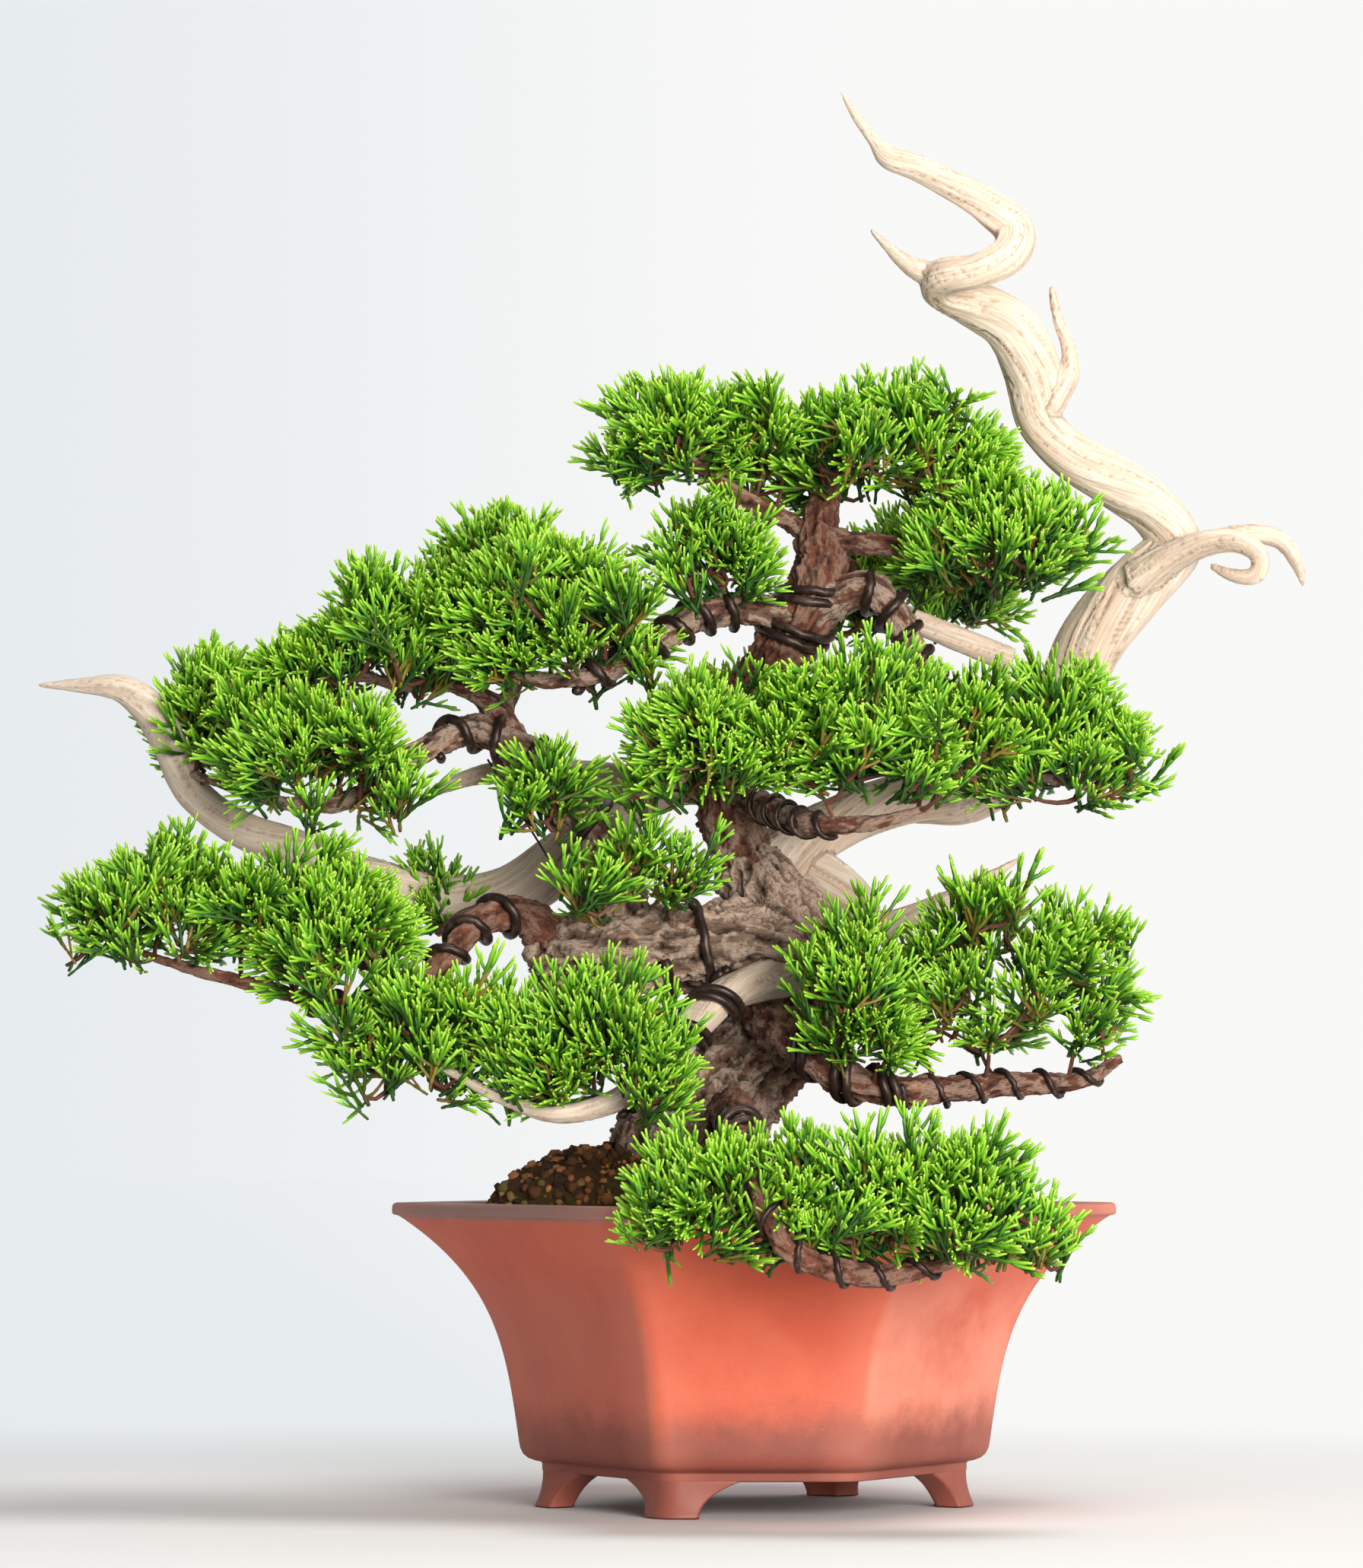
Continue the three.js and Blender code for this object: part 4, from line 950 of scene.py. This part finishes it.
anodised = Finish("training_wire", Metallic=0.55, Specular_IOR_Level=0.5)
anodised_place = anodised.place()
anodised_wear = anodised.noise(anodised_place, 320.0, 4.0, 0.6)
anodised_worn = anodised.step(anodised_wear, 0.45, 0.7)
anodised.feed(anodised.shader, {
    "Base Color": anodised.blend(anodised_worn, (0.032, 0.018, 0.014), (0.085, 0.052, 0.040)),
    "Roughness": 0.30 + anodised_wear * 0.25,
})
for name, coils in windings.items():
    runs = [straightened(run) for coil in coils for run in wound(*coil)]
    dress(closed_tubes(f"{name}_coil", runs, 10), anodised, "training_wire", name)
guy_ends = [((-73, -2, 121), (-46, -18, 77)), ((-44, -15, 85), (-38, -19, 74))]
guy_runs = []
for first, second in guy_ends:
    share = np.linspace(0, 1, 12)[:, None]
    line = (np.array(first) * (1 - share) + np.array(second) * share) * MM + rim_middle
    guy_runs.append(straightened({"places": line, "radii": np.full(12, 0.3 * MM)}))
dress(closed_tubes("guy_wires", guy_runs, 8), anodised, "training_wire", "guy_wire")


# ---------------------------------------------------------------- Foliage
# Scale foliage in flat sprays: round green cords of overlapping scales that fork towards their
# tips. The sprays stand in tufts on the ends of the twigs and are pinched into rounded pads.
def unit(vectors):
    return vectors / np.linalg.norm(vectors, axis=-1, keepdims=True)


def cord_of_scales(path, radius):
    """Four-sided rod along a path: swollen at every pair of scales, with a blunt tip."""
    length = np.concatenate([[0], np.cumsum(np.linalg.norm(np.diff(path, axis=0), axis=1))])
    count = max(int(length[-1] / 1.45), 2)
    along = np.concatenate([np.linspace(0, length[-1] - 0.45, count), [length[-1] - 0.15, length[-1]]])
    places = np.stack([np.interp(along, length, path[:, axis]) for axis in range(3)], axis=1)
    swell = np.where(np.arange(count) % 2, 1.13, 0.87)
    narrowing = np.clip(0.62 + (length[-1] - along[:count]) / 9.0, 0, 1)
    radii = radius * np.concatenate([swell * narrowing, [0.54, 0.30]])
    ahead = np.gradient(places, axis=0)
    ahead /= np.linalg.norm(ahead, axis=1)[:, None]
    side = np.cross(ahead, [0.31, 0.89, 0.17])
    side /= np.linalg.norm(side, axis=1)[:, None]
    cord = {"places": places, "radii": radii, "side": side, "across": np.cross(ahead, side)}
    youth = np.clip(1 - (length[-1] - along) / 9.0, 0.02, 0.98)
    return tube_points(cord, 4, 0.4), np.array(capped(len(places), 4)), np.repeat(youth, 4)


def shoot_path(root, heading, lean_to, length, rng):
    """A shoot leaves at its heading and bends towards the way its spray grows."""
    share = np.linspace(0, 1, 7)[:, None]
    bend = heading * (1 - share * 0.55) + lean_to * share * 0.55 + rng.normal(0, 0.07, 3) * share
    bend /= np.linalg.norm(bend, axis=1)[:, None]
    return root + np.vstack([[0, 0, 0], np.cumsum(bend[:-1] * length / 6, axis=0)])


def spray(rng, length, gap):
    """One spray eighteen or so millimetres long that grows along +Z, flattest across X."""
    upward = np.array([0, 0, 1.0])
    first = upward + np.array([rng.normal(0, 0.16), rng.normal(0, 0.12), 0])
    stem = shoot_path(np.zeros(3), first, upward, length, rng)
    rods = [cord_of_scales(stem, 0.57)]
    reach = np.concatenate([[0], np.cumsum(np.linalg.norm(np.diff(stem, axis=0), axis=1))])
    place = length * rng.uniform(0.12, 0.2)
    side = rng.choice([-1, 1])
    while place < length * 0.80:
        root = np.array([np.interp(place, reach, stem[:, axis]) for axis in range(3)])
        open_out = rng.uniform(0.45, 1.0)
        heading = unit(upward + np.array([side * open_out, rng.normal(0, 0.36), 0]))
        size = (0.72 * (length - place) + 3.0) * rng.uniform(0.75, 1.15)
        path = shoot_path(root, heading, upward, size, rng)
        rods.append(cord_of_scales(path, rng.uniform(0.50, 0.58)))
        if size > 5.0:
            for fork in range(1 + int(size > 9)):
                joint = path[2 + 2 * fork]
                turn = unit(heading + np.array([-side * (-1) ** fork * 0.6, rng.normal(0, 0.4), 0.35]))
                twig = shoot_path(joint, turn, upward, size * rng.uniform(0.28, 0.48), rng)
                rods.append(cord_of_scales(twig, 0.52))
        side = -side
        place += gap * rng.uniform(0.75, 1.3)
    vertices, faces = joined(rods)
    return vertices * MM, faces, np.concatenate([rod[2] for rod in rods])


spray_rng = np.random.default_rng(71)
sprays = [spray(spray_rng, 16.5 + 1.3 * (i % 5), 2.55 + 0.2 * (i % 4)) for i in range(14)]
spray_length = 0.0200


def turned_to(directions, rolls):
    """Rotation matrices that carry +Z onto each direction, after a roll about it."""
    guide = np.where(np.abs(directions[:, 2:]) < 0.9, [[0, 0, 1.0]], [[1.0, 0, 0]])
    side = unit(np.cross(guide, directions))
    across = np.cross(directions, side)
    x = side * np.cos(rolls)[:, None] + across * np.sin(rolls)[:, None]
    return np.stack([x, np.cross(directions, x), directions], axis=-1)


def tufts_of(low, high, rng, spacing):
    """Where a pad's tufts end and which way they point, spread unevenly over its dome."""
    belly = 0.34 * (high[2] - low[2])
    middle = np.array([*((low + high) / 2)[:2], low[2] + belly])
    half = (high - low) / 2
    dome = np.array([half[0] * 0.96, half[1] * 0.96, high[2] - low[2] - belly + 0.0012])
    area = 2 * math.pi * (dome[0] * dome[1] + dome[0] * dome[2] + dome[1] * dome[2]) / 3
    count = min(max(int(area / spacing ** 2), 6), 52)
    i = np.arange(count) + 0.5
    rise = 1 - 1.06 * i / count
    angle = i * 2.39996 + rng.uniform(0, 6.28)
    level = np.sqrt(1 - rise ** 2)
    facing = np.stack([level * np.cos(angle), level * np.sin(angle), rise], 1)
    facing = unit(facing + rng.normal(0, 0.12, (count, 3)))
    square = (np.abs(facing) ** 2.1).sum(1, keepdims=True) ** (-1 / 2.1)
    reach = np.where(facing[:, 2:] > 0, dome[2], belly * 0.3)
    stretch = np.concatenate([np.tile(dome[:2], (count, 1)), reach], 1)
    tips = middle + facing * square * stretch * rng.uniform(0.80, 0.95, (count, 1))
    outward = unit(facing / stretch)
    heading = unit(outward * 0.62 + [0, 0, 0.52] + rng.normal(0, 0.26, (count, 3)))
    low_ones = facing[:, 2] < 0
    flat_out = outward[low_ones] * [1, 1, 0] + [0, 0, 0.48]
    heading[low_ones] = unit(flat_out + rng.normal(0, 0.15, (low_ones.sum(), 3)))
    return tips, heading


def bridges(first, second, rng):
    """Tufts in the valley between two pads that nearly touch."""
    low = np.maximum(first[0], second[0])
    high = np.minimum(first[1], second[1])
    shared = high - low
    small = min((first[1] - first[0])[0], (second[1] - second[0])[0]) < 0.040
    level = shared[2] / min(first[1][2] - first[0][2], second[1][2] - second[0][2])
    if shared[:2].min() < -0.006 or level < 0.45 or small:
        return np.zeros((0, 3)), np.zeros((0, 3))
    middles = [(pad[0] + pad[1]) / 2 for pad in (first, second)]
    halves = [(pad[1] - pad[0]) / 2 for pad in (first, second)]
    across = middles[1] - middles[0]
    share = halves[0][:2].mean() / (halves[0][:2].mean() + halves[1][:2].mean())
    valley = middles[0] + across * share
    count = 16
    side = unit(np.array([across[1], -across[0], 0.0]) + 1e-6)
    width = min(halves[0][:2].min(), halves[1][:2].min()) * 0.75
    tips = valley + side * rng.uniform(-1, 1, (count, 1)) * width + rng.normal(0, 0.003, (count, 3))
    top = min(first[1][2], second[1][2])
    tips[:, 2] = np.minimum(valley[2] + rng.uniform(0.0, 0.9, count) * (top - valley[2]), top)
    tips[:, 1] -= rng.uniform(0, 0.008, count)
    spread = side * (tips - valley).dot(side)[:, None] / width * 0.6 + [0, -0.25, 0.75]
    heading = unit(spread + rng.normal(0, 0.2, (count, 3)))
    return tips, heading


foliage = Finish("scale_foliage", Specular_IOR_Level=0.25)
foliage_place = foliage.node("ShaderNodeUVMap", {"uv_map": "OFBake"})
foliage_youth = foliage.part(foliage_place, "X")
foliage_tint = foliage.part(foliage_place, "Y")
foliage_ramp = foliage.node("ShaderNodeValToRGB", {"stops": [
    (0.0, (0.019, 0.062, 0.006)), (0.25, (0.040, 0.138, 0.008)), (0.55, (0.112, 0.325, 0.012)),
    (0.85, (0.250, 0.510, 0.026)), (1.0, (0.460, 0.690, 0.090))]}, {"Fac": foliage_youth}, "Color")
foliage_share = foliage.step(foliage_tint, 0.45, 0.0) * 0.40
foliage_cool = foliage.blend(foliage_share, foliage_ramp, (0.014, 0.100, 0.012))
foliage_share = foliage.step(foliage_tint, 0.72, 1.0) * 0.35
foliage_warm = foliage.blend(foliage_share, foliage_cool, (0.200, 0.440, 0.025))
foliage_base = foliage.step(foliage_youth, 0.12, 0.0) * foliage.step(foliage_tint, 0.55, 0.8)
foliage.feed(foliage.shader, {
    "Base Color": foliage.blend(foliage_base * 0.7, foliage_warm, (0.30, 0.17, 0.03)),
    "Roughness": 0.50 - foliage_youth * 0.14,
})

pad_names = sorted(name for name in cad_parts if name.startswith("foliage_"))
pad_boxes = [[np.array(corner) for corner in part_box(name)] for name in pad_names]
pad_trims = {"foliage_middle_left": ((0.008, 0, 0), (0, 0, -0.006)),
             "foliage_front_inner": ((0, 0, -0.004), (0, 0, -0.004)),
             "foliage_front_outer": ((0, 0, -0.001), (0, 0, -0.003)),
             "foliage_low_right": ((-0.009, 0, 0), (-0.002, 0, 0.004)),
             "foliage_low_right_inner": ((0, 0, 0), (0.004, 0, 0.006))}
for name, trims in pad_trims.items():
    for corner, trim in zip(pad_boxes[pad_names.index(name)], trims):
        corner += trim
per_tuft = 3
twig_ends = []
for number, name in enumerate(pad_names):
    rng = np.random.default_rng(900 + number)
    low, high = pad_boxes[number]
    slight = (high - low)[:2].min() < 0.030
    tips, heading = tufts_of(low, high, rng, 0.0125 if slight else 0.0101)
    for other in pad_boxes[number + 1:]:
        more_tips, more_heading = bridges(pad_boxes[number], other, rng)
        tips = np.vstack([tips, more_tips])
        heading = np.vstack([heading, more_heading])
    roots = tips - heading * (spray_length * rng.uniform(0.80, 1.0, (len(tips), 1)))
    twig_ends += zip(roots, heading)
    starts = np.repeat(roots, per_tuft, axis=0) + rng.normal(0, 0.0013, (len(roots) * per_tuft, 3))
    ways = unit(np.repeat(heading, per_tuft, axis=0) + rng.normal(0, 0.31, (len(starts), 3)))
    middle = (low + high) / 2 - [0, 0, 0.004]
    inner = rng.integers(0, len(starts), len(starts) // 4)
    sunk = starts[inner] + (middle - starts[inner]) * rng.uniform(0.2, 0.55, (len(inner), 1))
    starts = np.vstack([starts, sunk])
    ways = np.vstack([ways, unit(ways[inner] + rng.normal(0, 0.35, (len(inner), 3)))])
    ways[:, 2] = np.maximum(ways[:, 2], -0.12)
    sizes = rng.uniform(0.74, 1.06, len(starts))
    picks = rng.integers(0, len(sprays), len(starts))
    turns = turned_to(ways, rng.uniform(0, 2 * math.pi, len(starts)))
    tints = rng.beta(2.2, 2.2, len(starts))
    vertices, faces = joined([(sprays[pick][0] * size @ turn.T + place, sprays[pick][1])
                              for pick, turn, size, place in zip(picks, turns, sizes, starts)])
    youths = [sprays[pick][2] for pick in picks]
    values = np.stack([np.concatenate(youths), np.repeat(tints, [len(youth) for youth in youths])], 1)
    pad = fast_mesh(name.replace("foliage_", "shoots_"), vertices, faces)
    layer = pad.data.uv_layers.new(name="OFBake")
    layer.data.foreach_set("uv", values[faces.ravel()].astype(np.float32).ravel())
    dress(pad, foliage, "scale_foliage", name)


# ---------------------------------------------------------------- Twigs
# Thin red-brown twigs join every tuft to the nearest branch, and fork from one another.
woody_stems = live_stems + [dead_stems[dead_names.index("front_left")]]
anchors = np.concatenate([stem["places"][::3] for stem in woody_stems])
order = np.argsort([np.linalg.norm(anchors - root, axis=1).min() for root, _ in twig_ends])
twig_rng = np.random.default_rng(5)
twig_runs = []
for index in order:
    root, way = twig_ends[index]
    apart = np.linalg.norm(anchors - root, axis=1)
    near = apart.argmin()
    if apart[near] < 0.0015:
        continue
    count = max(int(apart[near] / 0.002), 3)
    share = np.linspace(0, 1, count)[:, None]
    sag = (anchors[near] + root) / 2 - way * apart[near] * 0.12 + twig_rng.normal(0, 0.05, 3) * apart[near]
    line = anchors[near] * (1 - share) ** 2 + 2 * share * (1 - share) * sag
    line = line + (root + way * 0.003) * share ** 2
    thick = min(0.62 + apart[near] * 16, 1.15) * MM
    twig_runs.append(straightened({"places": line, "radii": np.linspace(thick, 0.50 * MM, count)}))
    anchors = np.vstack([anchors, line[count // 3:]])
twig_sides = 5
grains = []
for number, run in enumerate(twig_runs):
    rings = len(run["places"])
    grains.append(np.stack([np.repeat(np.arange(rings) * 2.0, twig_sides),
                            np.tile(np.arange(twig_sides), rings),
                            np.full(rings * twig_sides, number * 3.0)], 1))
points, faces = joined([(tube_points(run, twig_sides), ring_quads(len(run["places"]), twig_sides))
                        for run in twig_runs])
twigs = fast_mesh("twigs", points, faces)
add_values(twigs, "grain", np.concatenate(grains))
for name, level in (("split", 0.0), ("raised", 0.3), ("tone", 0.75)):
    add_values(twigs, name, np.full(len(points), level))
dress(twigs, bark, "bark")


# ---------------------------------------------------------------- Stage and lights
# A pale table in a white room that is bright behind the tree and dim in front of it. One soft lamp
# stands at the right shoulder, so the pot's left side falls into shade, deepened by shade painted into the
# clay.
def room_glow(finish, direction):
    """How bright the room looks in a direction: white behind, cooler to the left, grey in front."""
    across = finish.part(direction, "X")
    ahead = finish.part(direction, "Y")
    level = finish.step(ahead * 0.9 + across * 0.3, -0.40, 0.75)
    white = finish.blend(finish.step(across, -0.13, 0.05), (0.80, 0.835, 0.86), (0.945, 0.945, 0.935))
    return finish.blend(level, (0.225, 0.23, 0.235), white)


table_size = 9.0
table_ring = [(rim_middle[0] + table_size * math.cos(a), rim_middle[1] + table_size * math.sin(a), -0.0002)
              for a in np.linspace(0, 2 * math.pi, 96, endpoint=False)]
table = add_mesh("pale_table", table_ring, [tuple(range(96))], smooth=False)
# Painted light: away from the middle the table stops taking light and glows with the room's colour, and glows
# paler in front, where it lights the pot from below.
pale = Finish("pale_table", Roughness=1.0, Specular_IOR_Level=0.0, Emission_Strength=1.0)
pale_place = pale.place()
pale_far = pale.node("ShaderNodeVectorMath", {"operation": "LENGTH"}, {0: pale_place}, "Value")
pale_away = pale.node("ShaderNodeVectorMath", {"operation": "NORMALIZE"}, {0: pale_place})
pale_ahead = pale.part(pale_away, "Y")
pale_front_glow = pale.step(pale_ahead, 0.3, -0.5) * (1 - pale.step(pale_far, 1.4, 3.2))
pale_glow = pale.blend(pale_front_glow, room_glow(pale, pale_away), (0.85, 0.84, 0.825))
pale_glow_share = pale.step(pale_far, 0.14, 0.52)
pale.feed(pale.shader, {
    "Base Color": pale.blend(pale_glow_share, (0.72, 0.71, 0.70), (0.0, 0.0, 0.0)),
    "Emission Color": pale.blend(pale_glow_share, (0.0, 0.0, 0.0), pale_glow),
})
table.data.materials.append(pale.material)

world = bpy.data.worlds.new("room")
world.use_nodes = True
room = Finish.of_room(world)
room_way = room.place("Generated")
room.feed(world.node_tree.nodes["Background"], {"Color": room_glow(room, room_way), "Strength": 1.0})
bpy.context.scene.world = world
bpy.context.scene.view_settings.view_transform = "Standard"


def light(name, place, target, size, power, colour):
    data = bpy.data.lights.new(name, "AREA")
    data.shape = "DISK"
    data.size = size
    data.energy = power
    data.color = colour
    lamp = bpy.data.objects.new(name, data)
    lamp.location = rim_middle + np.array(place)
    aim = Vector(target) - Vector(place)
    lamp.rotation_euler = aim.to_track_quat("-Z", "Y").to_euler()
    bpy.context.collection.objects.link(lamp)


light("key", (0.52, -1.38, 0.16), (0, 0, 0.05), 0.95, 42, (1.0, 0.98, 0.94))
light("top", (0.25, -0.20, 1.30), (0, 0, 0.1), 0.6, 10, (1.0, 0.99, 0.97))
